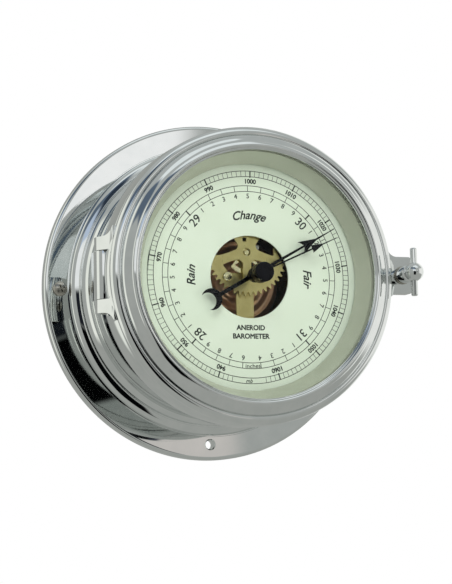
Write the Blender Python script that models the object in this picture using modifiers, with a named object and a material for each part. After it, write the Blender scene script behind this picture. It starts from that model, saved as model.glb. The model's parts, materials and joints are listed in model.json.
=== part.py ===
"""Ship barometer: flanged drum case, hinged glazed bezel and an open-view aneroid movement.

The model is laid out as it would lie on a bench, on its back: x to the right, y towards
twelve o'clock, z up from the wall face.  One empty then stands the whole instrument up,
so that in the world the dial faces -Y and twelve o'clock is +Z.  Sizes are in millimetres
and MM turns them into metres.
"""
import math

import bmesh
import bpy

MM = 0.001
GAP = 0.3                     # clearance kept between pieces that touch

# ---- driving dimensions, in millimetres -----------------------------------------------
BASE_RADIUS = 89.0            # flange that meets the bulkhead, 178 mm across
BASE_THICKNESS = 6.3
BASE_EDGE = 2.2               # rounding of the flange's front edge
FOOT_RADIUS = 76.3            # where the moulded foot rises from the flange
DRUM_RADIUS = 68.0
DRUM_INNER = 65.4
DRUM_TOP = 65.0
REAR_OPENING = 62.0
REAR_LIP = 55.0
VENT_SPOT = (-30.0, -20.0)    # air reaches the capsule through this hole in the back
SHOULDER = 34.0               # inner step that carries the movement's base plate
SCREW_CIRCLE = 80.8
SCREW_HOLE = 2.4
SCREW_HEAD = 3.85

BEZEL_RADIUS = 75.3
BEZEL_REAR = 66.8
BEAD = 3.7                    # radius of the bead round the bezel's outer edge
BEAD_CENTRE = 75.5
LIP_RADIUS = 62.5             # edge of the glass opening
LIP_TOP = 84.9
GLASS_SEAT = 83.3
GLASS_RADIUS = 65.0
GLASS_BACK = 79.3
GLASS_THICKNESS = 3.0
GLASS_BEVEL = 58.0            # radius at which the glass's bevelled edge begins

HINGE_X = -74.3
HINGE_Z = 62.3
HINGE_BARREL = 3.9
HINGE_PIN = 1.5
KNUCKLE_HALF = 12.0
ARM_HALF = 19.0
BLOCK_BACK = 52.0

CLAMP_X = 83.0
CLAMP_Y = 2.15
EAR_FRONT = 73.0
EAR_BACK = 67.3
EAR_HALF = 9.55
EAR_END = 88.5
BARREL_RADIUS = 4.5
BALL_RADIUS = 4.9
BALL_Z = 87.0
STEM_RADIUS = 2.3
STEM_END = 59.0
BAR_RADIUS = 1.75
BAR_LENGTH = 24.6
LUG_TOP = 66.3
LUG_BACK = 58.4
LUG_END = 87.4
LUG_HALF = 5.2

DIAL_RADIUS = 64.6
DIAL_FRONT = 69.25
DIAL_THICKNESS = 1.0
DIAL_OPENING = 20.92
DIAL_POST_CIRCLE = 56.0

POINTER_Z = 73.0
POINTER_ANGLE = 29.0
SET_HAND_Z = 77.0
SET_HAND_ANGLE = 24.0
KNOB_RADIUS = 5.0
KNOB_FRONT = 91.5
SPINDLE_RADIUS = 1.5

PIVOT_Y = 13.0                # sector pivot, above the pointer's axis
SECTOR_RADIUS = 11.0
PINION_RADIUS = 1.5
BRIDGE_BACK = 65.2
STRAP_BACK = 60.9
PLATE = 1.0                   # thickness of the movement's brass plates
BASE_PLATE_BACK = 36.0
BASE_PLATE_THICKNESS = 2.0
PLATE_SCREW_CIRCLE = 63.6
PLATE_SCREW_ANGLES = (90.0, 210.0, 330.0)
PLATE_SCREW_HOLE = 1.0
COVER_SCREW_CIRCLE = 58.5
PILLAR_RADIUS = 2.2
PILLAR_TOP_Y = 27.0
PILLAR_LOW_Y = -29.0
BRIDGE_SCREW = (-11.0, 0.3)
TOOTH_TIP = 22.3
TOOTH_ROOT = 20.4
TOOTH_COUNT = 18
TOOTH_START = 201.0           # the rim's first and last tooth, in degrees about the pivot
TOOTH_END = 339.0
RIM_INNER = 14.6

ROCK_X = 6.5                  # upright rocking shaft, right of the capsule's stud
ROCK_Z = 55.5
TAIL = 3.0                    # sector pivot to the link's pin
LINK_LOW = 62.45
LINK_THICKNESS = 0.4
SECTOR_BACK = 63.4
SECTOR_THICKNESS = 0.8
SHAFT_RADIUS = 0.9            # rocking shaft
BEARING_LOW_Y = -4.9
BEARING_TOP_Y = 21.4
TAB_END = 8.8

CAPSULE_RADIUS = 24.0
CAPSULE_MID = 46.0
CAPSULE_RISE = 5.0
CORRUGATION = 4.4             # pitch of the capsule's rings
ADJUSTER_X = 20.0

ROUND_STEPS = 48              # facets round the large turned pieces
SMALL_STEPS = 24
TINY_STEPS = 12


# ---- scene, collections, materials ----------------------------------------------------
for old in list(bpy.data.objects):
    bpy.data.objects.remove(old, do_unlink=True)

PARTS = bpy.data.collections.new("ship_barometer")
CUTTERS = bpy.data.collections.new("cutters")
bpy.context.scene.collection.children.link(PARTS)
bpy.context.scene.collection.children.link(CUTTERS)


def material(name, color, roughness, metallic, alpha=1.0):
    made = bpy.data.materials.new(name)
    made.use_nodes = True
    shader = made.node_tree.nodes["Principled BSDF"]
    shader.inputs["Base Color"].default_value = (*color, 1.0)
    shader.inputs["Roughness"].default_value = roughness
    shader.inputs["Metallic"].default_value = metallic
    shader.inputs["Alpha"].default_value = alpha
    made.diffuse_color = (*color, alpha)
    return made


CHROME = material("chrome_plate", (0.78, 0.78, 0.78), 0.06, 1.0)
BRASS = material("lacquered_brass", (0.62, 0.54, 0.22), 0.28, 1.0)
COPPER = material("copper_capsule", (0.80, 0.45, 0.30), 0.25, 1.0)
STEEL = material("screw_steel", (0.56, 0.55, 0.52), 0.35, 1.0)
BLACK = material("black_lacquer", (0.015, 0.015, 0.02), 0.3, 0.0)
DIAL_PAINT = material("dial_enamel", (0.58, 0.66, 0.54), 0.55, 0.0)
SURROUND_PAINT = material("surround_enamel", (0.36, 0.39, 0.33), 0.5, 0.0)
GLASS = material("bevelled_glass", (0.92, 0.97, 0.94), 0.02, 0.0, 0.35)
RUBBER = material("seal_rubber", (0.02, 0.02, 0.02), 0.8, 0.0)


# ---- placing --------------------------------------------------------------------------
def axis_empty(name, parent, at=(0.0, 0.0, 0.0)):
    """An empty on a joint's axis; "bench" keeps its place in bench coordinates."""
    empty = bpy.data.objects.new(name, None)
    bpy.context.scene.collection.objects.link(empty)
    empty.empty_display_size = 0.01
    empty.parent = parent
    empty["bench"] = at
    start = parent["bench"] if parent else (0.0, 0.0, 0.0)
    empty.location = [(a - b) * MM for a, b in zip(at, start)]
    return empty


BENCH = axis_empty("bench", None)
BENCH.rotation_euler = (math.radians(90.0), 0.0, 0.0)
HINGE_AXIS = axis_empty("bezel_hinge_axis", BENCH, (HINGE_X, 0.0, HINGE_Z))
CLAMP_AXIS = axis_empty("clamp_axis", HINGE_AXIS, (CLAMP_X, CLAMP_Y, EAR_FRONT))
SET_AXIS = axis_empty("set_hand_axis", HINGE_AXIS, (0.0, 0.0, SET_HAND_Z))
POINTER_AXIS = axis_empty("pointer_axis", BENCH, (0.0, 0.0, POINTER_Z))
SECTOR_AXIS = axis_empty("sector_axis", BENCH, (0.0, PIVOT_Y, STRAP_BACK))
ROCK_AXIS = axis_empty("rocking_axis", BENCH, (ROCK_X, 0.0, ROCK_Z))
LINK_AXIS = axis_empty("link_axis", ROCK_AXIS, (ROCK_X, PIVOT_Y + TAIL, LINK_LOW))
STUD_AXIS = axis_empty("capsule_stud_axis", BENCH, (0.0, 0.0, CAPSULE_MID))
ADJUSTER_AXIS = axis_empty("adjusting_screw_axis", BENCH, (ADJUSTER_X, 0.0, 30.0))


def place(part, parent, at=(0.0, 0.0, 0.0)):
    """Hang a part on an empty so that its own origin lands on the bench point "at"."""
    part.parent = parent
    part.location = [(a - b) * MM for a, b in zip(at, parent["bench"])]
    return part


def add_object(name, data, look, collection=None):
    part = bpy.data.objects.new(name, data)
    (collection or PARTS).objects.link(part)
    if look:
        data.materials.append(look)
    return part


def smooth(mesh, angle=35.0):
    mesh.shade_smooth()
    mesh.set_sharp_from_angle(angle=math.radians(angle))


# ---- shapes ---------------------------------------------------------------------------
def arc(centre, radius, start, end, steps):
    """Points round a circle, angles in degrees."""
    turn = math.radians(end - start) / steps
    first = math.radians(start)
    return [(centre[0] + radius * math.cos(first + turn * k),
             centre[1] + radius * math.sin(first + turn * k)) for k in range(steps + 1)]


def full_circle(radius, steps, centre=(0.0, 0.0)):
    """A closed ring of points for an edge or a hole."""
    return arc(centre, radius, 0.0, 360.0 * (steps - 1) / steps, steps - 1)


def on_circle(radius, angle):
    turn = math.radians(angle)
    return (radius * math.cos(turn), radius * math.sin(turn))


def mirrored(upper):
    """An outline from its upper half, root to tip, closed by the same half below."""
    return upper + [(x, -y) for x, y in reversed(upper)]


def turned(name, outline, look, parent=BENCH, at=(0.0, 0.0, 0.0), steps=SMALL_STEPS,
           closed=True, collection=None):
    """A turned piece: (radius, height) outline, outer side running down, spun about z."""
    mesh = bpy.data.meshes.new(name)
    edges = [(k, k + 1) for k in range(len(outline) - 1)]
    if closed:
        edges.append((len(outline) - 1, 0))
    mesh.from_pydata([(r * MM, 0.0, z * MM) for r, z in outline], edges, [])
    part = add_object(name, mesh, look, collection)
    spin = part.modifiers.new("turn", 'SCREW')
    spin.steps = steps
    spin.render_steps = steps
    spin.use_merge_vertices = True
    spin.merge_threshold = 0.00001
    spin.use_smooth_shade = True
    return place(part, parent, at)


def disc(name, radius, low, high, look, parent=BENCH, at=(0.0, 0.0), steps=SMALL_STEPS,
         collection=None):
    """A plain round solid between two heights."""
    outline = [(0.0, high), (radius, high), (radius, low), (0.0, low)]
    spot = (at[0], at[1], 0.0)
    return turned(name, outline, look, parent, spot, steps, False, collection)


def drill(part, name, radius, low, high, at, parent=BENCH):
    """Cut a round hole; its facets are turned so that no corner meets a spoke of the part."""
    tool = disc(name, radius, low, high, None, parent, at, TINY_STEPS, CUTTERS)
    tool.rotation_euler = (0.0, 0.0, math.radians(180.0 / TINY_STEPS + 4.0))
    cut(part, tool)


def tube(name, inner, outer, low, high, look, parent=BENCH, at=(0.0, 0.0), steps=SMALL_STEPS):
    """A plain ring between two heights."""
    outline = [(inner, high), (outer, high), (outer, low), (inner, low)]
    return turned(name, outline, look, parent, (at[0], at[1], 0.0), steps)


def mesh_of(curve_object):
    """Turn a curve object into a welded mesh object with the same name."""
    bpy.context.view_layer.update()
    depsgraph = bpy.context.evaluated_depsgraph_get()
    mesh = bpy.data.meshes.new_from_object(curve_object.evaluated_get(depsgraph))
    name = curve_object.name
    matrix = curve_object.matrix_world.copy()
    holder = curve_object.users_collection[0]
    bpy.data.objects.remove(curve_object, do_unlink=True)
    welded = bmesh.new()
    welded.from_mesh(mesh)
    bmesh.ops.remove_doubles(welded, verts=welded.verts, dist=0.000001)
    welded.to_mesh(mesh)
    welded.free()
    part = bpy.data.objects.new(name, mesh)
    holder.objects.link(part)
    part.matrix_world = matrix
    return part


def flat(name, outlines, low, thickness, look, parent=BENCH, at=(0.0, 0.0), turn=0.0,
         collection=None):
    """A flat plate: the first outline is its edge, the others are its holes."""
    curve = bpy.data.curves.new(name, 'CURVE')
    curve.dimensions = '2D'
    curve.fill_mode = 'BOTH'
    curve.extrude = thickness / 2.0 * MM
    for outline in outlines:
        spline = curve.splines.new('POLY')
        spline.points.add(len(outline) - 1)
        for point, (x, y) in zip(spline.points, outline):
            point.co = (x * MM, y * MM, 0.0, 1.0)
        spline.use_cyclic_u = True
    part = mesh_of(add_object(name, curve, look, collection))
    place(part, parent, (at[0], at[1], low + thickness / 2.0))
    part.rotation_euler = (0.0, 0.0, math.radians(turn))
    return part


def upright(name, outline, y_low, y_high, look, parent=BENCH, collection=None):
    """A block whose (x, z) outline runs along y between two places."""
    part = flat(name, [outline], 0.0, y_high - y_low, look, parent, (0.0, 0.0), 0.0, collection)
    place(part, parent, (0.0, (y_low + y_high) / 2.0, 0.0))
    part.rotation_euler = (math.radians(90.0), 0.0, 0.0)
    return part


def rod(name, radius, length, look, parent, centre, tilt=(0.0, 0.0, 0.0), steps=TINY_STEPS,
        collection=None):
    """A round bar about its own middle, along z before it is tilted."""
    mesh = bpy.data.meshes.new(name)
    shape = bmesh.new()
    bmesh.ops.create_cone(shape, cap_ends=True, segments=steps, radius1=radius * MM,
                          radius2=radius * MM, depth=length * MM)
    shape.to_mesh(mesh)
    shape.free()
    smooth(mesh)
    part = add_object(name, mesh, look, collection)
    place(part, parent, centre)
    part.rotation_euler = tilt
    return part


def block(name, size, look, parent, centre, collection=None):
    mesh = bpy.data.meshes.new(name)
    shape = bmesh.new()
    bmesh.ops.create_cube(shape, size=1.0)
    bmesh.ops.scale(shape, vec=[side * MM for side in size], verts=shape.verts)
    shape.to_mesh(mesh)
    shape.free()
    return place(add_object(name, mesh, look, collection), parent, centre)


def as_cutter(part):
    part.hide_render = True
    part.display_type = 'WIRE'
    return part


def combine(part, tool, operation):
    boolean = part.modifiers.new(tool.name, 'BOOLEAN')
    boolean.operation = operation
    boolean.solver = 'EXACT'
    boolean.object = as_cutter(tool)


def cut(part, tool):
    combine(part, tool, 'DIFFERENCE')


def join(part, tool):
    combine(part, tool, 'UNION')


ALONG_Y = (math.radians(90.0), 0.0, 0.0)


# ---- case -----------------------------------------------------------------------------
def make_case_body():
    """Flange, moulded foot and drum in one casting, open at the back."""
    rim = arc((BASE_RADIUS - BASE_EDGE, BASE_THICKNESS - BASE_EDGE), BASE_EDGE, 90, 0, 3)
    ovolo = arc((72.2, 7.0), 4.0, 75, 0, 3)
    cove = arc((72.2, 21.0), 4.2, 180, 258, 3)
    outline = [(DRUM_INNER, DRUM_TOP), (DRUM_RADIUS, DRUM_TOP)]
    outline += cove
    outline += ovolo
    outline += [(FOOT_RADIUS, BASE_THICKNESS)]
    outline += rim
    outline += [(BASE_RADIUS, 0.8), (BASE_RADIUS - 0.8, 0.0), (REAR_OPENING, 0.0),
                (REAR_OPENING, 2.6), (REAR_LIP, 2.6), (REAR_LIP, 5.2), (REAR_OPENING, 5.2),
                (REAR_OPENING, SHOULDER), (DRUM_INNER, SHOULDER)]
    case = turned("case_body", outline, CHROME, steps=ROUND_STEPS)
    for number, angle in enumerate((0, 90, 180, 270)):
        spot = on_circle(SCREW_CIRCLE, angle)
        drill(case, f"screw_hole_{number}", SCREW_HOLE, -2.0, 9.0, spot)
    for number, angle in enumerate(PLATE_SCREW_ANGLES):
        drill(case, f"shoulder_hole_{number}", PLATE_SCREW_HOLE, SHOULDER - 6.0, SHOULDER + 4.0,
              on_circle(PLATE_SCREW_CIRCLE, angle))


def make_back_cover():
    outlines = [full_circle(REAR_OPENING - GAP, ROUND_STEPS),
                full_circle(3.2, TINY_STEPS, (ADJUSTER_X, 0.0)),
                full_circle(1.6, TINY_STEPS, VENT_SPOT)]
    screw_spots = [on_circle(COVER_SCREW_CIRCLE, angle) for angle in (33, 153, 273)]
    outlines += [full_circle(1.8, TINY_STEPS, spot) for spot in screw_spots]
    flat("back_cover", outlines, 0.0, 2.3, CHROME)
    for number, spot in enumerate(screw_spots, 1):
        drill(bpy.data.objects["case_body"], f"cover_screw_hole_{number}", 1.5, 1.0, 9.0, spot)
        outline = [(0.0, 6.5), (1.2, 6.5), (1.2, 1.7), (1.5, 1.7), (1.5, 0.3), (0.0, 0.3)]
        turned(f"back_cover_screw_{number}", outline, STEEL, at=(*spot, 0.0),
               steps=TINY_STEPS, closed=False)


def make_mounting_screw():
    """The domed screw through the flange at nine o'clock, ending flush with the back."""
    low = BASE_THICKNESS + GAP
    dome = [(SCREW_HEAD * math.sin(math.radians(a)),
             low + 0.5 + 2.0 * math.cos(math.radians(a))) for a in (0, 30, 60, 90)]
    outline = dome + [(SCREW_HEAD, low), (2.0, low), (2.0, 0.4), (0.0, 0.4)]
    screw = turned("mounting_screw", outline, STEEL, at=(-SCREW_CIRCLE, 0.0, 0.0), closed=False)
    for number, size in enumerate(((3.4, 0.8, 2.2), (0.8, 3.4, 2.2))):
        spot = (-SCREW_CIRCLE, 0.0, low + 2.5)
        cut(screw, block(f"recess_{number}", size, None, BENCH, spot, CUTTERS))


def make_hinge():
    """Fixed knuckle on the drum and the vertical pin it carries."""
    left = HINGE_X - HINGE_BARREL
    barrel = arc((HINGE_X, HINGE_Z), HINGE_BARREL, 180, 0, 8)
    outline = [(left, BLOCK_BACK)] + barrel
    outline += [(HINGE_X + HINGE_BARREL, 60.0), (-64.0, 60.0), (-64.0, BLOCK_BACK)]
    knuckle = upright("hinge_knuckle", outline, -KNUCKLE_HALF, KNUCKLE_HALF, CHROME)
    cut(knuckle, disc("drum_clearance", DRUM_RADIUS + GAP, 40.0, 80.0, None,
                      steps=ROUND_STEPS, collection=CUTTERS))
    centre = (HINGE_X, 0.0, HINGE_Z)
    cut(knuckle, rod("knuckle_bore", HINGE_PIN + GAP, 60.0, None, BENCH, centre, ALONG_Y,
                     collection=CUTTERS))
    rod("hinge_pin", HINGE_PIN, 2.0 * ARM_HALF - 0.8, STEEL, BENCH, centre, ALONG_Y)


def make_latch_lug():
    """Lug on the drum behind the bezel's ear; the clamp screw's stem enters it."""
    corner = 2.5
    low = CLAMP_Y - LUG_HALF
    high = CLAMP_Y + LUG_HALF
    outline = [(60.0, low)] + arc((LUG_END - corner, low + corner), corner, -90, 0, 3)
    outline += arc((LUG_END - corner, high - corner), corner, 0, 90, 3) + [(60.0, high)]
    hole = full_circle(STEM_RADIUS + 0.45, TINY_STEPS, (CLAMP_X, CLAMP_Y))
    lug = flat("latch_lug", [outline, hole], LUG_BACK, LUG_TOP - LUG_BACK, CHROME)
    cut(lug, bpy.data.objects["drum_clearance"])


def make_bezel_seal():
    tube("bezel_seal", 65.8, 67.6, DRUM_TOP + GAP, BEZEL_REAR - GAP, RUBBER, steps=ROUND_STEPS)


# ---- bezel ----------------------------------------------------------------------------
def bezel_outline():
    """Lip, sloping band, step and bead, then the side wall and the bore behind."""
    outline = [(LIP_RADIUS, LIP_TOP - 0.8), (63.3, LIP_TOP - 0.1), (64.8, LIP_TOP)]
    outline += [(67.4, 83.7), (69.6, 81.7), (71.2, 79.5)]
    outline += arc((BEZEL_RADIUS - BEAD, BEAD_CENTRE), BEAD, 90, 0, 4)
    outline += [(BEZEL_RADIUS, BEZEL_REAR + 0.8), (BEZEL_RADIUS - 0.8, BEZEL_REAR)]
    outline += [(DRUM_INNER, BEZEL_REAR), (DRUM_INNER, GLASS_SEAT), (LIP_RADIUS, GLASS_SEAT)]
    return outline


def arm_outline():
    """Side view of a hinge arm: a rounded end at the pin that runs up into the bead."""
    left = HINGE_X - HINGE_BARREL
    low = arc((HINGE_X, HINGE_Z), HINGE_BARREL, 0, -90, 4)
    return ([(-70.4, 70.5), *low, (left + 0.6, HINGE_Z - HINGE_BARREL), (left, 59.4),
             (left, 62.6), (-77.0, 65.2), (-75.4, 68.0), (-73.4, 71.0), (-71.4, 73.0)])


def ear_outline():
    """The clamp's ear, flared where it leaves the ring."""
    top = CLAMP_Y + EAR_HALF
    low = CLAMP_Y - EAR_HALF
    upper = arc((80.0, top + 5.0), 5.0, 198, 270, 4)
    lower = arc((80.0, low - 5.0), 5.0, 90, 162, 4)
    corner = 2.0
    end = arc((EAR_END - corner, low + corner), corner, -90, 0, 3)
    end += arc((EAR_END - corner, top - corner), corner, 0, 90, 3)
    return [(71.0, top + 4.0)] + upper + end[::-1] + lower + [(71.0, low - 3.6)]


def make_bezel():
    ring = turned("bezel", bezel_outline(), CHROME, HINGE_AXIS, steps=ROUND_STEPS)
    for number, side in enumerate((-1, 1)):
        near = side * (KNUCKLE_HALF + GAP)
        far = side * ARM_HALF
        join(ring, upright(f"hinge_arm_{number}", arm_outline(), min(near, far),
                           max(near, far), None, HINGE_AXIS, CUTTERS))
    join(ring, flat("clamp_ear", [ear_outline()], EAR_BACK, EAR_FRONT - EAR_BACK, None,
                    HINGE_AXIS, collection=CUTTERS))
    cut(ring, rod("arm_bore", HINGE_PIN + GAP, 60.0, None, HINGE_AXIS,
                  (HINGE_X, 0.0, HINGE_Z), ALONG_Y, collection=CUTTERS))
    drill(ring, "ear_bore", STEM_RADIUS + GAP, 60.0, 80.0, (CLAMP_X, CLAMP_Y), HINGE_AXIS)


def make_glazing():
    top = GLASS_BACK + GLASS_THICKNESS
    outline = [(2.9, top), (GLASS_BEVEL, top), (GLASS_RADIUS, top - 1.0),
               (GLASS_RADIUS, GLASS_BACK), (2.9, GLASS_BACK)]
    turned("glass", outline, GLASS, HINGE_AXIS, steps=ROUND_STEPS)
    tube("glass_gasket", 62.7, GLASS_RADIUS, top + GAP, GLASS_SEAT - GAP, RUBBER, HINGE_AXIS,
         steps=ROUND_STEPS)
    outline = [(62.3, GLASS_BACK - GAP), (GLASS_RADIUS, GLASS_BACK - GAP),
               (GLASS_RADIUS, 70.2), (57.0, 70.2)]
    turned("glass_retaining_ring", outline, SURROUND_PAINT, HINGE_AXIS, steps=ROUND_STEPS)
    bush = [(1.8, top + 0.9), (3.6, top + 0.9), (3.6, top + GAP), (2.6, top + GAP),
            (2.6, GLASS_BACK - 0.1), (1.8, GLASS_BACK - 0.1)]
    turned("spindle_bush", bush, BLACK, HINGE_AXIS)


# ---- set hand -------------------------------------------------------------------------
def make_set_hand():
    front = KNOB_FRONT
    outline = [(0.0, front), (KNOB_RADIUS - 0.7, front), (KNOB_RADIUS, front - 0.7),
               (KNOB_RADIUS, 84.2), (KNOB_RADIUS - 0.6, 83.6), (SPINDLE_RADIUS, 83.6),
               (SPINDLE_RADIUS, 76.0), (0.0, 76.0)]
    turned("set_hand_knob", outline, BLACK, SET_AXIS, closed=False)
    upper = [(2.4, 0.45), (36.0, 0.42), (36.2, 1.6), (39.5, 0.36), (49.0, 0.2)]
    blade = mirrored(upper)
    hand = flat("set_hand", [blade], SET_HAND_Z - 0.25, 0.5, BLACK, SET_AXIS,
                turn=SET_HAND_ANGLE)
    bore = SPINDLE_RADIUS + GAP
    collet = [(bore, 78.8), (3.9, 78.8), (3.9, 76.4), (bore, 76.4)]
    join(hand, turned("set_hand_collet", collet, None, SET_AXIS, collection=CUTTERS))


# ---- clamp ----------------------------------------------------------------------------
def make_clamp():
    """Ball-ended clamp nut with its cross bar, stem and washer."""
    washer_top = EAR_FRONT + GAP + 0.6
    outline = [(BALL_RADIUS * math.sin(math.radians(a)),
                BALL_Z + BALL_RADIUS * math.cos(math.radians(a))) for a in range(0, 126, 18)]
    outline += [(BARREL_RADIUS - 0.9, 82.9), (BARREL_RADIUS, 82.0),
                (BARREL_RADIUS, washer_top + GAP), (STEM_RADIUS, washer_top + GAP),
                (STEM_RADIUS, STEM_END + 0.6), (STEM_RADIUS - 0.6, STEM_END), (0.0, STEM_END)]
    screw = turned("clamp_screw", outline, CHROME, CLAMP_AXIS, (CLAMP_X, CLAMP_Y, 0.0),
                   closed=False)
    centre = (CLAMP_X, CLAMP_Y, BALL_Z)
    cut(screw, rod("bar_bore", BAR_RADIUS + GAP, 30.0, None, CLAMP_AXIS, centre, ALONG_Y,
                   collection=CUTTERS))
    bar = rod("clamp_bar", BAR_RADIUS, BAR_LENGTH, CHROME, CLAMP_AXIS, centre, ALONG_Y, 16)
    rounding = bar.modifiers.new("ends", 'BEVEL')
    rounding.width = 0.5 * MM
    rounding.segments = 2
    rounding.limit_method = 'ANGLE'
    rounding.angle_limit = math.radians(60.0)
    tube("clamp_washer", STEM_RADIUS + GAP, BARREL_RADIUS + 0.2, EAR_FRONT + GAP, washer_top,
         STEEL, CLAMP_AXIS, (CLAMP_X, CLAMP_Y))


# ---- dial -----------------------------------------------------------------------------
def make_dial():
    outlines = [full_circle(DIAL_RADIUS, ROUND_STEPS), full_circle(DIAL_OPENING, ROUND_STEPS)]
    low = DIAL_FRONT - DIAL_THICKNESS
    flat("dial", outlines, low, DIAL_THICKNESS, DIAL_PAINT)
    plate_top = BASE_PLATE_BACK + BASE_PLATE_THICKNESS
    for number, angle in enumerate((60, 180, 300), 1):
        spot = on_circle(DIAL_POST_CIRCLE, angle)
        disc(f"dial_post_{number}", 2.5, plate_top + GAP, low - GAP, BRASS, at=spot,
             steps=TINY_STEPS)


# ---- movement -------------------------------------------------------------------------
def make_base_plate():
    """Disc on the case's shoulder that carries the whole movement."""
    outlines = [full_circle(DRUM_INNER - GAP, ROUND_STEPS), full_circle(3.0, TINY_STEPS)]
    spots = [on_circle(PLATE_SCREW_CIRCLE, angle) for angle in PLATE_SCREW_ANGLES]
    outlines += [full_circle(PLATE_SCREW_HOLE, TINY_STEPS, spot) for spot in spots]
    low = SHOULDER + GAP
    top = BASE_PLATE_BACK + BASE_PLATE_THICKNESS
    flat("base_plate", outlines, low, top - low, BRASS)
    shank = PLATE_SCREW_HOLE - GAP
    outline = [(0.0, top + 1.4), (1.4, top + 1.4), (1.4, top + GAP), (shank, top + GAP),
               (shank, SHOULDER - 5.0), (0.0, SHOULDER - 5.0)]
    for number, spot in enumerate(spots, 1):
        turned(f"base_plate_screw_{number}", outline, STEEL, at=(*spot, 0.0), closed=False,
               steps=TINY_STEPS)


def make_pillars():
    low = BASE_PLATE_BACK + BASE_PLATE_THICKNESS + GAP
    for name, y in (("upper", PILLAR_TOP_Y), ("lower", PILLAR_LOW_Y)):
        disc(f"frame_pillar_{name}", PILLAR_RADIUS, low, STRAP_BACK - GAP, BRASS, at=(0.0, y),
             steps=TINY_STEPS)
    low = STRAP_BACK + PLATE + GAP
    for name, spot in (("upper", (0.0, PILLAR_TOP_Y)), ("left", BRIDGE_SCREW)):
        tube(f"bridge_pillar_{name}", 1.3, PILLAR_RADIUS, low, BRIDGE_BACK - GAP, BRASS,
             at=spot, steps=TINY_STEPS)
        head = BRIDGE_BACK + PLATE + GAP
        outline = [(0.0, head + 1.1), (2.0, head + 1.1), (2.4, head + 0.7), (2.4, head),
                   (1.0, head), (1.0, low + 0.4), (0.0, low + 0.4)]
        screw = turned(f"bridge_screw_{name}", outline, BRASS, at=(*spot, 0.0), closed=False,
                       steps=TINY_STEPS)
        cut(screw, block(f"screw_slot_{name}", (6.0, 0.6, 1.0), None, BENCH,
                         (*spot, head + 1.1), CUTTERS))


def make_strap():
    """Rear plate of the movement: a broad strap below, narrow above, with three tabs."""
    wide = 4.7
    narrow = 3.0
    outline = arc((0.0, PILLAR_LOW_Y), wide, 180, 360, 8)
    outline += [(wide, BEARING_LOW_Y - 1.2), (TAB_END, BEARING_LOW_Y - 1.2),
                (TAB_END, BEARING_LOW_Y + 1.2), (narrow, BEARING_LOW_Y + 1.2),
                (narrow, BEARING_TOP_Y - 1.6), (TAB_END, BEARING_TOP_Y - 1.6),
                (TAB_END, BEARING_TOP_Y + 1.6), (narrow, BEARING_TOP_Y + 1.6)]
    outline += arc((0.0, PILLAR_TOP_Y), narrow, 0, 180, 6)
    outline += [(-narrow, 2.8), (-13.4, 2.8), (-13.4, -2.2), (-narrow, -2.2), (-narrow, -4.0),
                (-wide, -6.0)]
    holes = [full_circle(1.1, TINY_STEPS), full_circle(1.1, TINY_STEPS, (0.0, PIVOT_Y))]
    flat("rear_strap", [outline] + holes, STRAP_BACK, PLATE, BRASS)


def tooth(base, pitch):
    """One straight-sided tooth of the rim, root to tip and back; angles about the pivot."""
    flanks = ((0.0, TOOTH_ROOT), (0.18, TOOTH_ROOT), (0.42, TOOTH_TIP), (0.62, TOOTH_TIP),
              (0.86, TOOTH_ROOT))
    points = [on_circle(radius, base + share * pitch) for share, radius in flanks]
    return [(x, y + PIVOT_Y) for x, y in points]


def bridge_edge():
    """Edge of the front bridge: toothed rim below, swept arms and the upper stem."""
    pitch = (TOOTH_END - TOOTH_START) / TOOTH_COUNT
    edge = []
    for number in range(TOOTH_COUNT):
        edge += tooth(TOOTH_START + number * pitch, pitch)
    edge += [(20.0, 6.8), (18.3, 9.6), (16.8, 12.4), (15.2, 15.6), (14.5, 15.4), (14.5, 11.2),
             (10.1, 12.5), (5.4, 14.4), (4.7, 16.6), (6.9, 19.8), (7.4, 24.0)]
    edge += [(3.0, 30.0), (-3.0, 30.0), (-7.4, 24.0)]
    edge += [(-6.9, 19.8), (-4.7, 16.6), (-5.4, 14.4), (-10.1, 12.5), (-14.5, 11.2),
             (-21.5, 11.0), (-22.6, 8.8), (-21.6, 6.0)]
    return edge


def lower_window(side):
    """Opening between the stem, an arm and the toothed rim."""
    rim_start = 207.0 if side < 0 else 333.0
    rim_end = 261.0 if side < 0 else 279.0
    rim = arc((0.0, PIVOT_Y), RIM_INNER, rim_start, rim_end, 6)
    top = [(side * 2.2, 7.4), (side * 4.1, 9.2), (side * 8.4, 8.2)]
    return rim + top


def make_front_bridge():
    holes = [full_circle(2.0, SMALL_STEPS, (0.0, PIVOT_Y)), full_circle(1.2, TINY_STEPS),
             full_circle(1.3, TINY_STEPS, BRIDGE_SCREW),
             full_circle(1.3, TINY_STEPS, (0.0, PILLAR_TOP_Y)),
             [(-2.2, 18.4), (-0.2, 18.4), (-0.2, 20.4), (-2.2, 20.4)],
             lower_window(-1), lower_window(1)]
    flat("front_bridge", [bridge_edge()] + holes, BRIDGE_BACK, PLATE, BRASS)


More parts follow.
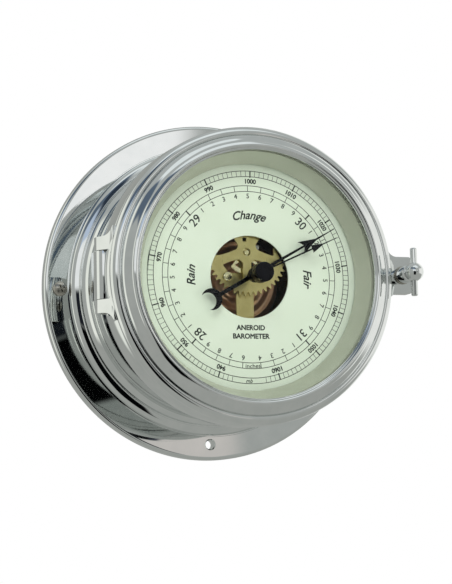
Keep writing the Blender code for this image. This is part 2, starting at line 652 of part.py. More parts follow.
def make_pointer():
    """Pointer with its crescent counterpoise, and the arbor and pinion that turn it."""
    hollow = arc((-27.25, 0.0), 4.35, 0, 104, 6)
    outside = arc((-25.0, 0.0), 5.5, 128, 12, 8)
    upper = hollow + outside + [(-1.2, 1.4), (1.2, 1.4), (2.6, 0.55)]
    upper += [(32.5, 0.5), (30.6, 3.3), (39.5, 0.45), (51.5, 0.15)]
    outline = upper + [(x, -y) for x, y in reversed(upper[1:])]
    hand = flat("pointer_hand", [outline], POINTER_Z - 0.3, 0.6, BLACK, POINTER_AXIS,
                turn=POINTER_ANGLE)
    hub = disc("pointer_hub", 2.6, 72.2, 74.6, None, POINTER_AXIS, steps=SMALL_STEPS,
               collection=CUTTERS)
    join(hand, hub)
    low = STRAP_BACK + PLATE + 1.0
    high = low + 2.0
    outline = [(0.0, 71.9), (0.7, 71.9), (0.7, high), (PINION_RADIUS, high),
               (PINION_RADIUS, low), (0.7, low), (0.7, 59.3), (0.0, 59.3)]
    turned("pointer_arbor", outline, STEEL, POINTER_AXIS, closed=False, steps=TINY_STEPS)


def sector_outline():
    """Spoked quadrant below the pivot and the short tail above it."""
    rim = arc((0.0, 0.0), SECTOR_RADIUS, 222, 318, 14)
    left = [(-1.2, TAIL), (-1.2, 1.6), (-2.2, 0.0)]
    right = [(2.2, 0.0), (1.2, 1.6), (1.2, TAIL), (0.0, TAIL + 1.2)]
    return left + rim + right


def make_sector():
    low = SECTOR_BACK
    window = arc((0.0, 0.0), 8.6, 228, 312, 10) + [(0.0, -2.6)]
    hole = full_circle(0.9, TINY_STEPS)
    gear = flat("sector_gear", [sector_outline(), window, hole], low, SECTOR_THICKNESS, BRASS,
                SECTOR_AXIS, (0.0, PIVOT_Y))
    join(gear, disc("link_pin", 0.5, 62.1, 63.8, None, SECTOR_AXIS, (0.0, PIVOT_Y + TAIL),
                    TINY_STEPS, CUTTERS))
    outline = [(0.0, 66.4), (1.3, 66.4), (1.3, 64.6), (0.6, 64.6), (0.6, 59.9), (0.0, 59.9)]
    turned("sector_arbor", outline, BRASS, SECTOR_AXIS, (0.0, PIVOT_Y, 0.0), TINY_STEPS, False)


def make_rocking_shaft():
    """Upright shaft: a short arm over the capsule's stud and a long arm to the link."""
    shaft = rod("rocking_shaft", SHAFT_RADIUS, BEARING_TOP_Y - BEARING_LOW_Y + 2.8, STEEL, ROCK_AXIS,
                (ROCK_X, (BEARING_TOP_Y + BEARING_LOW_Y) / 2.0, ROCK_Z), ALONG_Y)
    join(shaft, block("stud_arm", (8.0, 1.6, 0.8), None, ROCK_AXIS, (ROCK_X - 3.6, 0.0, ROCK_Z),
                      CUTTERS))
    arm_top = LINK_LOW - GAP
    join(shaft, block("link_arm", (1.2, 1.6, arm_top - ROCK_Z), None, ROCK_AXIS,
                      (ROCK_X, PIVOT_Y + TAIL, (ROCK_Z + arm_top) / 2.0), CUTTERS))
    join(shaft, disc("arm_pin", 0.4, arm_top - 1.0, LINK_LOW + 0.8, None, ROCK_AXIS,
                     (ROCK_X, PIVOT_Y + TAIL), TINY_STEPS, CUTTERS))
    bearing_low = 53.2
    bearing_top = STRAP_BACK - GAP
    for name, y in (("lower", BEARING_LOW_Y), ("upper", BEARING_TOP_Y)):
        bearing = block(f"rocking_bearing_{name}", (4.2, 2.4, bearing_top - bearing_low), BRASS,
                        BENCH, (ROCK_X, y, (bearing_top + bearing_low) / 2.0))
        cut(bearing, rod(f"bearing_bore_{name}", SHAFT_RADIUS + GAP, 6.0, None, BENCH,
                         (ROCK_X, y, ROCK_Z), ALONG_Y, collection=CUTTERS))


def make_link():
    """Flat link from the long arm to the sector's tail; its far eye is open round the pin."""
    eye = arc((-ROCK_X, 0.0), 2.3, 30, 330, 10)
    outline = [(1.3, 1.0), (-4.2, 1.0)] + eye + [(-4.2, -1.0), (1.3, -1.0)]
    holes = [full_circle(1.4, TINY_STEPS, (-ROCK_X, 0.0)), full_circle(0.7, TINY_STEPS)]
    flat("drive_link", [outline] + holes, LINK_LOW, LINK_THICKNESS, STEEL, LINK_AXIS,
         (ROCK_X, PIVOT_Y + TAIL))


def make_hairspring():
    turns = 4.5
    inner = 1.8
    outer = 5.4
    count = 80
    curve = bpy.data.curves.new("hairspring", 'CURVE')
    curve.dimensions = '3D'
    curve.bevel_depth = 0.12 * MM
    curve.bevel_resolution = 0
    curve.use_fill_caps = True
    spline = curve.splines.new('POLY')
    spline.points.add(count)
    for step, point in enumerate(spline.points):
        share = step / count
        radius = inner + (outer - inner) * share
        angle = 2.0 * math.pi * turns * share
        point.co = (radius * math.cos(angle) * MM, radius * math.sin(angle) * MM, 0.0, 1.0)
    place(add_object("hairspring", curve, STEEL), BENCH, (0.0, 0.0, 60.0))
    block("hairspring_stud", (1.2, 1.2, 1.4), BRASS, BENCH, (-6.5, 0.0, 59.8))


def diaphragm(name, side, hole, count):
    """One corrugated half of the capsule, spun from an open line and given its thickness."""
    points = []
    for step in range(count + 1):
        share = step / count
        radius = hole + (CAPSULE_RADIUS - hole) * share
        fall = min(1.0, (CAPSULE_RADIUS - radius) / 4.0)
        wave = 0.45 * math.sin(2.0 * math.pi * radius / CORRUGATION) if radius < 20.0 else 0.0
        height = CAPSULE_RISE * fall + wave * fall
        points.append((radius, CAPSULE_MID + side * (0.35 + height)))
    if side < 0:
        points = points[::-1]
    half = turned(name, points, COPPER, steps=SMALL_STEPS, closed=False)
    wall = half.modifiers.new("wall", 'SOLIDIFY')
    wall.thickness = 0.3 * MM
    wall.offset = 0.0
    return half


def make_capsule():
    diaphragm("capsule_front", 1, 1.7, 20)
    diaphragm("capsule_rear", -1, 2.4, 10)
    disc("capsule_stud", 1.2, CAPSULE_MID + 0.4, 54.4, BRASS, STUD_AXIS, steps=TINY_STEPS)
    disc("capsule_base_stud", 2.0, 33.9, CAPSULE_MID - 1.8, BRASS, steps=TINY_STEPS)


def make_adjuster():
    """Spring carrier behind the base plate and the screw that sets the capsule's height."""
    outline = arc((-24.0, 0.0), 4.0, 90, 270, 6) + arc((24.0, 0.0), 4.0, -90, 90, 6)
    holes = [full_circle(1.8, TINY_STEPS, (side * ADJUSTER_X, 0.0)) for side in (1, -1)]
    flat("capsule_carrier", [outline] + holes, 32.0, 1.6, STEEL)
    outline = [(0.0, 33.9), (1.5, 33.9), (1.5, 31.7), (2.8, 31.7), (2.8, 28.6), (0.0, 28.6)]
    screw = turned("adjusting_screw", outline, BRASS, ADJUSTER_AXIS, (ADJUSTER_X, 0.0, 0.0),
                   closed=False, steps=TINY_STEPS)
    cut(screw, block("adjuster_slot", (6.4, 0.7, 1.6), None, ADJUSTER_AXIS,
                     (ADJUSTER_X, 0.0, 28.6), CUTTERS))
    turned("carrier_screw", outline, STEEL, at=(-ADJUSTER_X, 0.0, 0.0), closed=False,
           steps=TINY_STEPS)


make_case_body()
make_back_cover()
make_mounting_screw()
make_hinge()
make_latch_lug()
make_bezel_seal()
make_bezel()
make_glazing()
make_set_hand()
make_clamp()
make_dial()
make_base_plate()
make_pillars()
make_strap()
make_front_bridge()
make_pointer()
make_sector()
make_rocking_shaft()
make_link()
make_hairspring()
make_capsule()
make_adjuster()
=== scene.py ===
"""Looks of the ship barometer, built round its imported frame.

Shapes are laid out as on a bench, in millimetres: x to the reader's right, y towards twelve
o'clock, z out of the wall.  stand_up() turns a finished piece into the frame's metres, where
the dial faces -Y and twelve o'clock is +Z.
"""
import json
import math

import bmesh
import bpy
from mathutils import Matrix, Vector


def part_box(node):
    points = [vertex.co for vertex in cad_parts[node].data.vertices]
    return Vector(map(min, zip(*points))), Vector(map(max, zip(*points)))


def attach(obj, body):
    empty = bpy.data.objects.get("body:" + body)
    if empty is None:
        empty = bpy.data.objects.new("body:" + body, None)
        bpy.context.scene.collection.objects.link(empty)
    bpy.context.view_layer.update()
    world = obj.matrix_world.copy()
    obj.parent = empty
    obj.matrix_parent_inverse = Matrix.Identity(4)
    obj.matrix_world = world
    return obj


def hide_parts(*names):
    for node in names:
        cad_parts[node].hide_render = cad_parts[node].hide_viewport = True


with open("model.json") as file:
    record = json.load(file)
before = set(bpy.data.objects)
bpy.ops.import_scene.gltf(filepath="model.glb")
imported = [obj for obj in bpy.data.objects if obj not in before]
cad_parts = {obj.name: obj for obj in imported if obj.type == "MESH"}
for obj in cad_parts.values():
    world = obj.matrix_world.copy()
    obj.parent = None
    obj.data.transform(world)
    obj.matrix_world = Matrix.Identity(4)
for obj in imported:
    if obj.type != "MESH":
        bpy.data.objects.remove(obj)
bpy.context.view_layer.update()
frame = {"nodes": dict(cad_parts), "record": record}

MM = 0.001
UPRIGHT = Matrix(((MM, 0.0, 0.0, 0.0), (0.0, 0.0, -MM, 0.0), (0.0, MM, 0.0, 0.0),
                  (0.0, 0.0, 0.0, 1.0)))


def bench_box(node):
    """A node's lowest and highest corners in bench millimetres."""
    low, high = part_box(node)
    return ((low[0] / MM, low[2] / MM, -high[1] / MM), (high[0] / MM, high[2] / MM, -low[1] / MM))


def bench_middle(node):
    low, high = bench_box(node)
    return [(a + b) / 2.0 for a, b in zip(low, high)]


# ---- sizes read from the frame, in millimetres
_, (BASE_RADIUS, _, DRUM_TOP) = bench_box("case_body")
(_, _, BEZEL_REAR), (EAR_END, _, _) = bench_box("bezel")
(_, _, GLASS_BACK), (GLASS_RADIUS, _, GLASS_TOP) = bench_box("glass")
(_, _, DIAL_BACK), (DIAL_RADIUS, _, DIAL_FRONT) = bench_box("dial")
HINGE_X, _, HINGE_Z = bench_middle("hinge_pin")
CLAMP_X, CLAMP_Y, BALL_Z = bench_middle("clamp_bar")
BAR_LENGTH = bench_box("clamp_bar")[1][1] - bench_box("clamp_bar")[0][1]
STEM_END = bench_box("clamp_screw")[0][2]
WASHER_TOP = bench_box("clamp_washer")[1][2]
KNOB_FRONT = bench_box("set_hand_knob")[1][2]
BRIDGE_BACK = bench_box("front_bridge")[0][2]
STRAP_BACK = bench_box("rear_strap")[0][2]
SCREW_X = bench_middle("mounting_screw")[0]
PIVOT_Y = bench_middle("sector_arbor")[1]
PILLAR_TOP_Y = bench_middle("frame_pillar_upper")[1]
PILLAR_LOW_Y = bench_middle("frame_pillar_lower")[1]
CAPSULE_RADIUS = bench_box("capsule_front")[1][0]

# ---- other driving sizes, in millimetres
BASE_THICKNESS = 6.3
DRUM_RADIUS = 68.0
DRUM_INNER = 65.4
BEZEL_RADIUS = 75.3
LIP_RADIUS = 62.5
GLASS_SEAT = 83.3
EAR_FRONT = 73.0
EAR_BACK = 67.3
EAR_HALF = 9.55
HINGE_BARREL = 3.9
HINGE_PIN = 1.5
KNUCKLE_HALF = 12.0
ARM_HALF = 19.0
DIAL_OPENING = 20.92
POINTER_Z = 73.0
POINTER_ANGLE = 29.0
SET_HAND_Z = 77.0
SET_HAND_ANGLE = 24.0
ROUND = 256                   # facets round the large turned pieces
INK = 0.04                    # height of the dial's printing
INK_LOW = DIAL_FRONT + 0.002  # a hair clear of the enamel
GAP = 0.3                     # clearance between fitted pieces
SHEET_EDGE = 12.0             # shading breaks at this angle on flat sheet work, in degrees
COVER_SCREWS = (33, 153, 273)
COVER_SCREW_CIRCLE = 58.5
BRIDGE_SCREW_LEFT = (-11.0, 0.3)

# ---- the two scales
MB_OUTER = 53.84
MB_INNER = 51.0
MB_STEP = 2.7                 # degrees for one millibar
MB_TOP = 1000.0 - 1.65 / 2.7  # reading at twelve o'clock
INCH_OUTER = 46.31
INCH_INNER = 43.42
INCH_STEP = 9.144             # degrees for a tenth of an inch
INCH_TOP = 29.5


# ---- materials
def colour(text):
    """sRGB hex to linear red, green, blue and alpha."""
    parts = [int(text[k:k + 2], 16) / 255.0 for k in (1, 3, 5)]
    linear = [c / 12.92 if c <= 0.04045 else ((c + 0.055) / 1.055) ** 2.4 for c in parts]
    return (*linear, 1.0)


def add(tree, kind, inputs=None, **settings):
    """Add a node: settings are its properties, inputs are values or other nodes' sockets."""
    made = tree.nodes.new(kind)
    for key, value in settings.items():
        setattr(made, key, value)
    for key, value in (inputs or {}).items():
        if isinstance(value, bpy.types.NodeSocket):
            tree.links.new(value, made.inputs[key])
        else:
            made.inputs[key].default_value = value
    return made


def start_material(name):
    """A material with its output, and the piece's own coordinates in millimetres."""
    made = bpy.data.materials.new(name)
    made.use_nodes = True
    tree = made.node_tree
    tree.nodes.clear()
    source = add(tree, 'ShaderNodeTexCoord')
    spot = add(tree, 'ShaderNodeMapping', {"Vector": source.outputs["Object"],
                                          "Scale": (1.0 / MM,) * 3})
    return made, tree, spot.outputs["Vector"]


def cloud(tree, spot, size, detail=3.0):
    """Soft irregular patches about "size" millimetres across, as a 0 to 1 value."""
    noise = add(tree, 'ShaderNodeTexNoise', {"Vector": spot, "Scale": 1.0 / size,
                                            "Detail": detail, "Roughness": 0.55})
    spread = add(tree, 'ShaderNodeMapRange', {"Value": noise.outputs["Fac"],
                                             "From Min": 0.35, "From Max": 0.65})
    return spread.outputs["Result"]


def lay_finish(tree, patch, shades, gloss=None, relief=None, gloss_by=None, **constant):
    """Tone and gloss that follow the patches, over a relief given as height, strength, depth."""
    shade = add(tree, 'ShaderNodeMix', {0: patch, 6: colour(shades[0]), 7: colour(shades[1])},
                data_type='RGBA')
    inputs = {"Base Color": shade.outputs[2], **constant}
    if gloss:
        spread = add(tree, 'ShaderNodeMapRange', {"Value": gloss_by or patch,
                                                 "To Min": gloss[0], "To Max": gloss[1]})
        inputs["Roughness"] = spread.outputs["Result"]
    if relief:
        height, strength, depth = relief
        bump = add(tree, 'ShaderNodeBump', {"Height": height, "Strength": strength,
                                           "Distance": depth})
        inputs["Normal"] = bump.outputs["Normal"]
    shader = add(tree, 'ShaderNodeBsdfPrincipled', inputs)
    return shader.outputs["BSDF"]


def plain_finish(name, patch_size, shades, gloss, grain=None, **constant):
    """An even finish; its grain is given as size in mm, detail, strength and depth."""
    made, tree, spot = start_material(name)
    relief = None
    if grain:
        size, detail, strength, depth = grain
        noise = add(tree, 'ShaderNodeTexNoise', {"Vector": spot, "Scale": 1.0 / size,
                                                "Detail": detail})
        relief = (noise.outputs["Fac"], strength, depth)
    shader = lay_finish(tree, cloud(tree, spot, patch_size), shades, gloss, relief, **constant)
    add(tree, 'ShaderNodeOutputMaterial', {"Surface": shader})
    return made


def chrome_plate():
    """Bright chromium over polished brass: a mirror with faint handling haze."""
    made, tree, spot = start_material("chrome_plate_polished")
    wave = add(tree, 'ShaderNodeTexNoise', {"Vector": spot, "Scale": 1.0 / 18.0, "Detail": 1.0})
    shader = lay_finish(tree, cloud(tree, spot, 9.0, 5.0), ("#e2e5e4", "#e9ebea"),
                        (0.015, 0.04), (wave.outputs["Fac"], 0.06, 0.00004), Metallic=1.0)
    add(tree, 'ShaderNodeOutputMaterial', {"Surface": shader})
    return made


def brushed_brass(name, first, second, grain_along, rough):
    """Lacquered clock brass, straight-grained by a fine abrasive, with a greenish-gold cast."""
    made, tree, spot = start_material(name)
    # real grain is a few hundredths of a millimetre; it is drawn coarser so that it shows
    stretch = [1.0 / 0.18] * 3
    stretch["xyz".index(grain_along)] = 1.0 / 6.0
    along = add(tree, 'ShaderNodeMapping', {"Vector": spot, "Scale": stretch})
    grain = add(tree, 'ShaderNodeTexNoise', {"Vector": along.outputs["Vector"], "Scale": 1.0,
                                            "Detail": 2.0}).outputs["Fac"]
    shader = lay_finish(tree, cloud(tree, spot, 6.0), (first, second),
                        (rough - 0.08, rough + 0.1), (grain, 0.3, 0.00002), grain, Metallic=1.0)
    add(tree, 'ShaderNodeOutputMaterial', {"Surface": shader})
    return made


def spun_copper():
    """Pressed copper-coloured spring bronze, turned bright, with fine rings round its centre."""
    made, tree, spot = start_material("spun_copper_bronze")
    rings = add(tree, 'ShaderNodeTexWave', {"Vector": spot, "Scale": 1.0 / 1.2,
                                           "Distortion": 0.3, "Detail": 1.0},
                wave_type='RINGS', rings_direction='Y')
    shader = lay_finish(tree, cloud(tree, spot, 7.0), ("#ffd2ae", "#f4bc94"), (0.3, 0.38),
                        (rings.outputs["Fac"], 0.1, 0.00001), Metallic=0.8)
    add(tree, 'ShaderNodeOutputMaterial', {"Surface": shader})
    return made


def enamel(name, first, second, rough):
    """Sprayed enamel on metal: even colour, fine orange peel and a trace of mottling."""
    return plain_finish(name, 18.0, (first, second), (rough - 0.05, rough + 0.05),
                        (0.7, 2.0, 0.12, 0.00003), IOR=1.5)


def plate_glass():
    """Bloomed plate glass, with little surface reflection; light passes straight through it."""
    made, tree, spot = start_material("plate_glass_bevelled")
    glass = lay_finish(tree, cloud(tree, spot, 25.0), ("#fafdfb", "#f8fcf9"),
                       **{"IOR": 1.2, "Roughness": 0.0, "Transmission Weight": 1.0})
    clear = add(tree, 'ShaderNodeBsdfTransparent', {"Color": colour("#fafcfa")})
    ray = add(tree, 'ShaderNodeLightPath')
    through = add(tree, 'ShaderNodeMath', {0: ray.outputs["Is Shadow Ray"],
                                          1: ray.outputs["Is Diffuse Ray"]}, operation='MAXIMUM')
    mixed = add(tree, 'ShaderNodeMixShader', {0: through.outputs["Value"], 1: glass,
                                             2: clear.outputs["BSDF"]})
    add(tree, 'ShaderNodeOutputMaterial', {"Surface": mixed.outputs["Shader"]})
    return made


CHROME = chrome_plate()
PLATE_BRASS = brushed_brass("brushed_brass_plate", "#e8d898", "#dccb8a", "z", 0.3)
TURNED_BRASS = brushed_brass("turned_brass", "#fff6cc", "#f6eab4", "x", 0.16)
# a dark brown copy of the brass for parts deep in the drum: painted shade
BRASS_PAINTED_SHADE = brushed_brass("brass_painted_shade", "#6b5238", "#4a3626", "x", 0.45)
COPPER = spun_copper()
# plain bright steel: fine lathe marks and a little oil haze
STEEL = plain_finish("turned_steel_bright", 2.5, ("#c9c5bb", "#aeaaa0"), (0.2, 0.36),
                     (0.25, 3.0, 0.25, 0.00002), Metallic=1.0)
# stoved black lacquer on thin brass: satin black with a slight blue cast
BLACK = plain_finish("black_lacquer_stoved", 3.0, ("#050608", "#0b0c10"), (0.22, 0.38),
                     (1.0 / 3.0, 2.0, 0.15, 0.00002), IOR=1.3)
DIAL_ENAMEL = enamel("dial_enamel_celadon", "#d8dfd0", "#d5dccc", 0.5)
# sage-grey, darker than the dial: a painted reflection of the dial on the sight ring's wall
SURROUND_PAINTED_REFLECTION = enamel("surround_painted_dial_reflection", "#b0b2a2", "#a9ac9b", 0.12)
# dark brown for the inside of the drum: painted shade, where little light reaches
CASE_INSIDE_PAINTED_SHADE = enamel("case_inside_painted_shade", "#2a201a", "#1d1612", 0.5)
# pad-printed black ink: matt, with slight thin spots
INK_BLACK = plain_finish("printing_ink_black", 1.2, ("#101413", "#1d2321"), (0.5, 0.65),
                         IOR=1.45)
GLASS = plate_glass()
# moulded black nitrile rubber: matt, with a fine bloom
RUBBER = plain_finish("seal_rubber_moulded", 2.0, ("#121212", "#1e1e1d"), (0.65, 0.8), IOR=1.5)


# ---- shape helpers
def arc(centre, radius, start, end, steps):
    """Points round a circle, angles in degrees."""
    first = math.radians(start)
    turn = math.radians(end - start) / steps
    return [(centre[0] + radius * math.cos(first + turn * k),
             centre[1] + radius * math.sin(first + turn * k)) for k in range(steps + 1)]


def polar(radius, angle, centre=(0.0, 0.0)):
    turn = math.radians(angle)
    return (centre[0] + radius * math.cos(turn), centre[1] + radius * math.sin(turn))


def sweep(start, lead, follow, end, steps):
    """A smooth S or C between two points, pulled by the two between them."""
    points = []
    for k in range(steps + 1):
        t = k / steps
        weights = ((1 - t) ** 3, 3 * t * (1 - t) ** 2, 3 * t * t * (1 - t), t ** 3)
        points.append(tuple(sum(w * p[axis] for w, p in zip(weights, (start, lead, follow, end)))
                            for axis in (0, 1)))
    return points


def rounded(corners, radius, steps=4, closed=True):
    """Round every corner of an outline, and hold its flats with a point beside each round."""
    points = []
    count = len(corners)
    for k, corner in enumerate(corners):
        here = Vector(corner)
        if not closed and k in (0, count - 1):
            points.append(tuple(here))
            continue
        before = Vector(corners[k - 1]) - here
        after = Vector(corners[(k + 1) % count]) - here
        angle = before.angle(after)
        reach = min(radius / math.tan(angle / 2.0), 0.45 * before.length, 0.45 * after.length)
        if angle > math.radians(172.0) or reach < 1e-4:
            points.append(tuple(here))
            continue
        start = here + before.normalized() * reach
        end = here + after.normalized() * reach
        hold = 0.12 * reach
        points.append(tuple(start + before.normalized() * hold))
        for step in range(steps + 1):
            t = step / steps
            spot = start * (1 - t) ** 2 + here * 2 * t * (1 - t) + end * t * t
            points.append(tuple(spot))
        points.append(tuple(end + after.normalized() * hold))
    return points


def smooth(mesh, angle=28.0):
    mesh.shade_smooth()
    mesh.set_sharp_from_angle(angle=math.radians(angle))


def add_object(name, mesh, look):
    part = bpy.data.objects.new(name, mesh)
    bpy.context.scene.collection.objects.link(part)
    if look:
        mesh.materials.clear()
        mesh.materials.append(look)
    return part


def turned(name, outline, look, steps=ROUND, closed=True, at=(0.0, 0.0)):
    """Spin a (radius, height) outline about z, in bench millimetres."""
    shape = bmesh.new()
    ring = [shape.verts.new((r, 0.0, z)) for r, z in outline]
    edges = [shape.edges.new(pair) for pair in zip(ring, ring[1:])]
    if closed:
        edges.append(shape.edges.new((ring[-1], ring[0])))
    bmesh.ops.spin(shape, geom=ring + edges, cent=(0.0, 0.0, 0.0), axis=(0.0, 0.0, 1.0),
                   angle=2.0 * math.pi, steps=steps, use_merge=True)
    bmesh.ops.remove_doubles(shape, verts=shape.verts, dist=0.0005)
    bmesh.ops.translate(shape, vec=(at[0], at[1], 0.0), verts=shape.verts)
    bmesh.ops.recalc_face_normals(shape, faces=shape.faces)
    mesh = bpy.data.meshes.new(name)
    shape.to_mesh(mesh)
    shape.free()
    return add_object(name, mesh, look)


def peg(name, radius, high, low, steps=32, at=(0.0, 0.0)):
    """A plain round peg along z, to drill a hole with or to join on."""
    outline = [(0.0, high), (radius, high), (radius, low), (0.0, low)]
    return turned(name, outline, None, steps, False, at)


def round_hole(centre, radius, points=24):
    """Outline of a round hole in a flat piece."""
    return arc(centre, radius, 0, 360 - 360 / points, points - 1)


def evaluated_mesh(part):
    """What a part's modifiers, or its curve or text, come to as a plain mesh."""
    bpy.context.view_layer.update()
    graph = bpy.context.evaluated_depsgraph_get()
    return bpy.data.meshes.new_from_object(part.evaluated_get(graph))


def mesh_in_place_of(holder):
    """A curve's or text's mesh; the object that held it is removed."""
    mesh = evaluated_mesh(holder)
    bpy.data.objects.remove(holder, do_unlink=True)
    return mesh


def settled(part):
    """Replace a part's mesh by what its modifiers make of it."""
    mesh = evaluated_mesh(part)
    part.modifiers.clear()
    part.data = mesh
    return part


def combine(part, tool, operation):
    """Cut or join at once, and remove the tool."""
    step = part.modifiers.new("shape", 'BOOLEAN')
    step.operation = operation
    step.solver = 'EXACT'
    step.object = tool
    settled(part)
    bpy.data.objects.remove(tool, do_unlink=True)
    return part


def cut(part, tool):
    return combine(part, tool, 'DIFFERENCE')


def join(part, tool):
    return combine(part, tool, 'UNION')


def plate(name, outlines, low, thickness, look, edge=0.0, at=(0.0, 0.0), turn=0.0):
    """A flat piece from its edge and holes, with slightly rounded edges."""
    curve = bpy.data.curves.new(name, 'CURVE')
    curve.dimensions = '2D'
    curve.fill_mode = 'BOTH'
    curve.extrude = thickness / 2.0 - edge
    curve.bevel_depth = edge
    curve.bevel_resolution = 2
    curve.offset = -edge
    for outline in outlines:
        spline = curve.splines.new('POLY')
        spline.points.add(len(outline) - 1)
        for point, (x, y) in zip(spline.points, outline):
            point.co = (x, y, 0.0, 1.0)
        spline.use_cyclic_u = True
    mesh = mesh_in_place_of(add_object(name, curve, None))
    place = Matrix.Translation((at[0], at[1], low + thickness / 2.0))
    mesh.transform(place @ Matrix.Rotation(math.radians(turn), 4, 'Z'))
    weld(mesh)
    return add_object(name, mesh, look)


def weld(mesh, distance=0.0008):
    shape = bmesh.new()
    shape.from_mesh(mesh)
    bmesh.ops.remove_doubles(shape, verts=shape.verts, dist=distance)
    bmesh.ops.recalc_face_normals(shape, faces=shape.faces)
    shape.to_mesh(mesh)
    shape.free()


def bar(name, radius, length, look, centre, along='y', steps=32, end_round=0.4):
    """A round bar with rounded ends, about its own middle."""
    half = length / 2.0
    outline = [(0.0, half)] + arc((radius - end_round, half - end_round), end_round, 90, 0, 4)
    outline += [(r, -z) for r, z in reversed(outline)]
    part = turned(name, outline, look, steps, closed=False)
    if along == 'y':
        part.data.transform(Matrix.Rotation(math.radians(90.0), 4, 'X'))
    part.data.transform(Matrix.Translation(centre))
    return part


def side_block(name, outline, y_low, y_high, look, edge):
    """A block whose (x, z) outline runs along y, with its edges rounded."""
    part = plate(name, [outline], -(y_high - y_low) / 2.0, y_high - y_low, look)
    part.data.transform(Matrix.Translation((0.0, (y_low + y_high) / 2.0, 0.0))
                        @ Matrix.Rotation(math.radians(90.0), 4, 'X'))
    soften(part, edge)
    return part


def soften(part, width, angle=40.0, segments=3):
    """Round a part's sharp edges."""
    rounding = part.modifiers.new("rounding", 'BEVEL')
    rounding.width = width
    rounding.segments = segments
    rounding.limit_method = 'ANGLE'
    rounding.angle_limit = math.radians(angle)
    rounding.harden_normals = False
    return settled(part)


def stand_up(part, body, slot, *nodes, sharp=28.0):
    """Bring a bench piece into the frame, hang it on its body and hide the frame nodes it replaces.
    """
    part.data.transform(UPRIGHT)
    smooth(part.data, sharp)
    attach(part, body)
    if nodes:
        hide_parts(*nodes)
    return part


# ---- case
def case_profile():
    """Flange, quirk, ovolo, ledge, bead and cove up to the drum, then the inside."""
    flange_edge = rounded([(BASE_RADIUS - 6.0, BASE_THICKNESS), (BASE_RADIUS, BASE_THICKNESS),
                           (BASE_RADIUS, 2.0)], 2.2, 10, closed=False)
    ovolo = arc((72.2, 7.0), 4.0, 70, 0, 12)
    bead = arc((71.3, 11.5), 0.75, 110, -20, 8)
    cove = arc((75.4, 19.2), 7.4, 180, 232, 16)
    outline = [(DRUM_INNER, DRUM_TOP), (DRUM_RADIUS - 0.3, DRUM_TOP),
               (DRUM_RADIUS, DRUM_TOP - 0.3), (DRUM_RADIUS, 50.0), (DRUM_RADIUS, 30.0),
               (DRUM_RADIUS, 21.0)]
    outline += cove + bead + ovolo
    outline += [(76.2, BASE_THICKNESS + 0.5), (76.2, BASE_THICKNESS - 0.35),
                (76.65, BASE_THICKNESS - 0.35), (76.85, BASE_THICKNESS),
                (77.2, BASE_THICKNESS)]
    outline += flange_edge
    outline += [(BASE_RADIUS, 0.8), (BASE_RADIUS - 0.3, 0.25), (BASE_RADIUS - 0.8, 0.0),
                (BASE_RADIUS - 1.4, 0.0), (62.4, 0.0), (62.0, 0.4), (62.0, 2.6), (55.0, 2.6),
                (55.0, 5.2), (62.0, 5.2), (62.0, 34.0), (DRUM_INNER, 34.0)]
    return outline


def countersunk_tool(spot):
    """Cutter for a screw hole with a broad chamfer at its mouth."""
    outline = [(0.0, 9.0), (3.9, 9.0), (2.95, BASE_THICKNESS), (2.45, BASE_THICKNESS - 0.6),
               (2.4, BASE_THICKNESS - 1.0), (2.4, -1.0), (0.0, -1.0)]
    return turned("screw_hole_tool", outline, None, 40, False, spot)


def make_case():
    """The turned shell, drilled for its screws, with dark brown painted shade on its inner faces.
    """
    shell = turned("case_shell", case_profile(), CHROME)
    for angle in (0, 90, 180, 270):
        cut(shell, countersunk_tool(polar(-SCREW_X, angle)))
    for angle in COVER_SCREWS:
        cut(shell, peg("cover_hole_tool", 1.5, 8.0, 1.0, 20, polar(COVER_SCREW_CIRCLE, angle)))
    # the drum's inner faces take the dark brown painted shade
    shell.data.materials.append(CASE_INSIDE_PAINTED_SHADE)
    for face in shell.data.polygons:
        if face.center.z > 5.0 and math.hypot(face.center.x, face.center.y) < DRUM_INNER + 0.1:
            face.material_index = 1
    stand_up(shell, "case", "chrome", "case_body")


def make_back_cover():
    """Rear disc, with openings for the adjusting screw, the air and its own screws."""
    outlines = [round_hole((0.0, 0.0), 61.7, 180)]
    outlines += [round_hole((20.0, 0.0), 3.2, 36), round_hole((-30.0, -20.0), 1.6)]
    outlines += [round_hole(polar(COVER_SCREW_CIRCLE, angle), 1.8) for angle in COVER_SCREWS]
    cover = plate("rear_cover_disc", outlines, 0.0, 2.3, CHROME, 0.25)
    stand_up(cover, "case", "chrome", "back_cover", sharp=SHEET_EDGE)


def make_mounting_screw():
    """Domed cross-recess screw in the flange."""
    low = BASE_THICKNESS + GAP
    dome = arc((0.0, 0.0), 1.0, 90, 8, 14)
    outline = [(3.85 * r, low + 0.35 + 2.15 * z) for r, z in dome]
    outline += [(3.85, low + 0.3), (3.7, low), (2.0, low), (2.0, 0.4), (0.0, 0.4)]
    screw = turned("flange_screw", outline, STEEL, 64, False, (SCREW_X, 0.0))
    for angle in (20.0, 110.0):
        corners = [(-2.1, -0.42), (2.1, -0.42), (2.1, 0.42), (-2.1, 0.42)]
        slot = plate("recess_tool", [corners], low + 0.9, 4.0, None, 0.0, (SCREW_X, 0.0), angle)
        cut(screw, slot)
    stand_up(screw, "case", "steel", "mounting_screw")


# ---- hinge and clamp
def clear_of_drum(part):
    """Hollow a fitting's inner side so that it just clears the drum."""
    return cut(part, peg("drum_tool", DRUM_RADIUS + GAP, 80.0, 40.0, ROUND))


